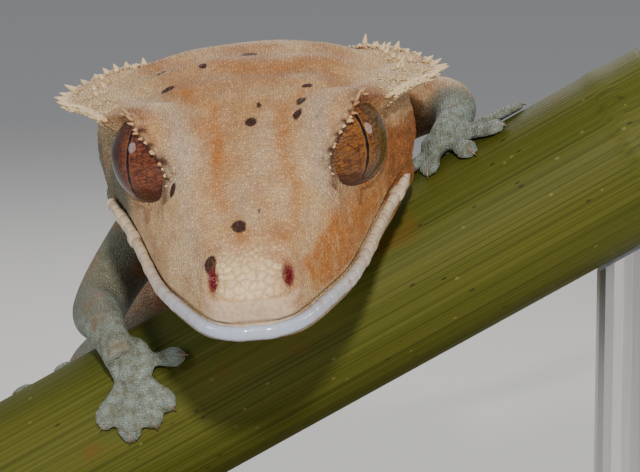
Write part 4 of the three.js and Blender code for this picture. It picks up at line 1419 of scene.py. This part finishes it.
def cane_material():
    g = Graph("green_cane")
    place = g.place()
    lined = g.scaled(place, (1, 1, 1), (0, PERCH_SLOPE, 0))
    fibres = g.noise(g.scaled(lined, (16, 5200, 5200)), 1.0, 2, 0.5)
    wide = g.noise(g.scaled(lined, (25, 220, 220)), 1.0, 3)
    # Painted shade: the cane's greens are kept about half as bright as its own olive, so that it reads dim as
    # if in shade
    colour = g.mix(g.ramp(wide, 0.3, 0.7), (0.052, 0.060, 0.006), (0.078, 0.078, 0.009))
    colour = g.mix(g.times(g.ramp(fibres, 0.48, 0.66), 0.5), colour, (0.098, 0.098, 0.018))
    colour = g.mix(g.times(g.ramp(fibres, 0.46, 0.34), 0.5), colour, (0.026, 0.032, 0.004))
    scuff = g.ramp(g.noise(place, 95, 4, 0.6), 0.62, 0.74)
    colour = g.mix(g.times(scuff, 0.6), colour, (0.115, 0.050, 0.008))
    specks = g.ramp(g.cells(g.scaled(lined, (380, 620, 620)), 1.0, "F1")[0], 0.085, 0.05)
    colour = g.mix(g.times(specks, 0.7), colour, (0.16, 0.15, 0.04))
    pits = g.ramp(g.cells(g.scaled(lined, (300, 900, 900)), 1.0, "F1")[0], 0.10, 0.06)
    colour = g.mix(g.times(pits, 0.8), colour, (0.020, 0.018, 0.004))
    normal = g.bump(fibres, 0.00010, 0.5)
    g.set(Base_Color=colour, Roughness=0.55, Normal=normal, Specular_IOR_Level=0.12)
    return g.material


def cane_mesh():
    def place(u, angle):
        at = PERCH_FROM + (PERCH_TO - PERCH_FROM) * u
        ring = 1 + 0.02 * (bell(u - 0.055, 0.012) + bell(u - 0.945, 0.012))
        wobble = 0.03 * np.sin(angle * 3 + u * 5) - 0.02
        return cane_point(at, np.degrees(angle), PERCH_RADIUS * ring + wobble)
    return make_mesh("perch_cane_stem", *loft(160, 160, place))


cane_piece = make_object("perch_cane_stem", cane_mesh(), cane_material())
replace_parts(cane_piece, "perch_cane")


# Stand

def base_material():
    g = Graph("dark_wood")
    place = g.place()
    grain = g.noise(g.scaled(place, (60, 900, 300)), 1.0, 5, 0.6)
    pores = g.noise(g.scaled(place, (200, 5200, 1500)), 1.0, 2)
    colour = g.mix(g.ramp(grain, 0.3, 0.7), (0.030, 0.017, 0.010), (0.075, 0.042, 0.022))
    colour = g.mix(g.ramp(pores, 0.62, 0.72), colour, (0.012, 0.008, 0.006))
    normal = g.bump(g.mix(0.5, grain, pores), 0.00008, 0.5)
    g.set(Base_Color=colour, Roughness=g.ramp(grain, 0, 1, 0.42, 0.30), Normal=normal)
    return g.material


def rod_material():
    g = Graph("brushed_rod")
    place = g.place()
    lines = g.noise(g.scaled(place, (9000, 9000, 120)), 1.0, 2)
    g.set(Base_Color=g.mix(lines, (0.50, 0.50, 0.50), (0.66, 0.66, 0.67)), Metallic=1.0)
    g.set(Roughness=g.ramp(lines, 0, 1, 0.24, 0.40), Normal=g.bump(lines, 0.00002, 0.4))
    return g.material


def dress_node(name, material, bevel):
    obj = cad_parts[name]
    obj.data.materials.clear()
    obj.data.materials.append(material)
    if bevel:
        edge = obj.modifiers.new("edge", "BEVEL")
        edge.width = bevel * MM
        edge.segments = 2
        edge.limit_method = "ANGLE"


dress_node("stand_base", base_material(), 0.25)
rod_look = rod_material()
for name in ("stand_rod_low", "stand_rod_high"):
    dress_node(name, rod_look, 0)


# Camera, lights and floor

CAMERA_AIM = np.array([4.2534, -20.069, 63.073])
CAMERA_DOWN = math.radians(10)
CAMERA_DISTANCE = 220.0
FOCAL_PIXELS = 2970.0
IMAGE_WIDTH = 640.0
SENSOR = 36.0

heading = np.array([0, math.cos(CAMERA_DOWN), -math.sin(CAMERA_DOWN)])
camera_data = bpy.data.cameras.new("camera")
camera_data.sensor_width = SENSOR
camera_data.lens = SENSOR * FOCAL_PIXELS / IMAGE_WIDTH
camera_data.clip_start = 0.01
camera_data.clip_end = 10
camera = bpy.data.objects.new("camera", camera_data)
camera.location = Vector((CAMERA_AIM - heading * CAMERA_DISTANCE) * MM)
camera.rotation_euler = (math.pi / 2 - CAMERA_DOWN, 0, 0)
bpy.context.scene.camera = in_scene(camera)


def area_light(name, place, aim, size, power, colour=(1, 1, 1)):
    data = bpy.data.lights.new(name, "AREA")
    data.shape = "DISK"
    data.size = size * MM
    data.energy = power
    data.color = colour
    obj = in_scene(bpy.data.objects.new(name, data))
    obj.location = Vector(place) * MM
    way = Vector(aim) - Vector(place)
    obj.rotation_euler = way.to_track_quat("-Z", "Y").to_euler()


HEAD_MIDDLE = (0, -18, 63)
area_light("key", (10, -260, 175), HEAD_MIDDLE, 15, 0.9, (1.0, 0.95, 0.88))
area_light("fill", (-340, -120, 180), HEAD_MIDDLE, 130, 0.45, (0.94, 0.97, 1.0))
area_light("side", (350, -40, 220), HEAD_MIDDLE, 130, 0.45, (1.0, 0.97, 0.92))
area_light("back", (0, 260, 260), (0, 40, 55), 240, 0.6, (1.0, 0.98, 0.95))

world = bpy.data.worlds.new("studio")
world.use_nodes = True
world.node_tree.nodes["Background"].inputs[0].default_value = (0.9, 0.93, 1.0, 1)
world.node_tree.nodes["Background"].inputs[1].default_value = 0.35
bpy.context.scene.world = world


# Half side of the floor in metres
FLOOR_HALF = 3.0


def floor():
    g = Graph("pale_floor")
    speckle = g.noise(g.place(), 700, 3)
    g.set(Base_Color=g.mix(speckle, (0.60, 0.59, 0.57), (0.64, 0.63, 0.61)), Roughness=0.8)
    mesh = bpy.data.meshes.new("floor")
    corners = [(x * FLOOR_HALF, y * FLOOR_HALF, 0) for x, y in ((-1, -1), (1, -1), (1, 1), (-1, 1))]
    mesh.from_pydata(corners, [], [(0, 1, 2, 3)])
    mesh.materials.append(g.material)
    in_scene(bpy.data.objects.new("floor", mesh))


floor()
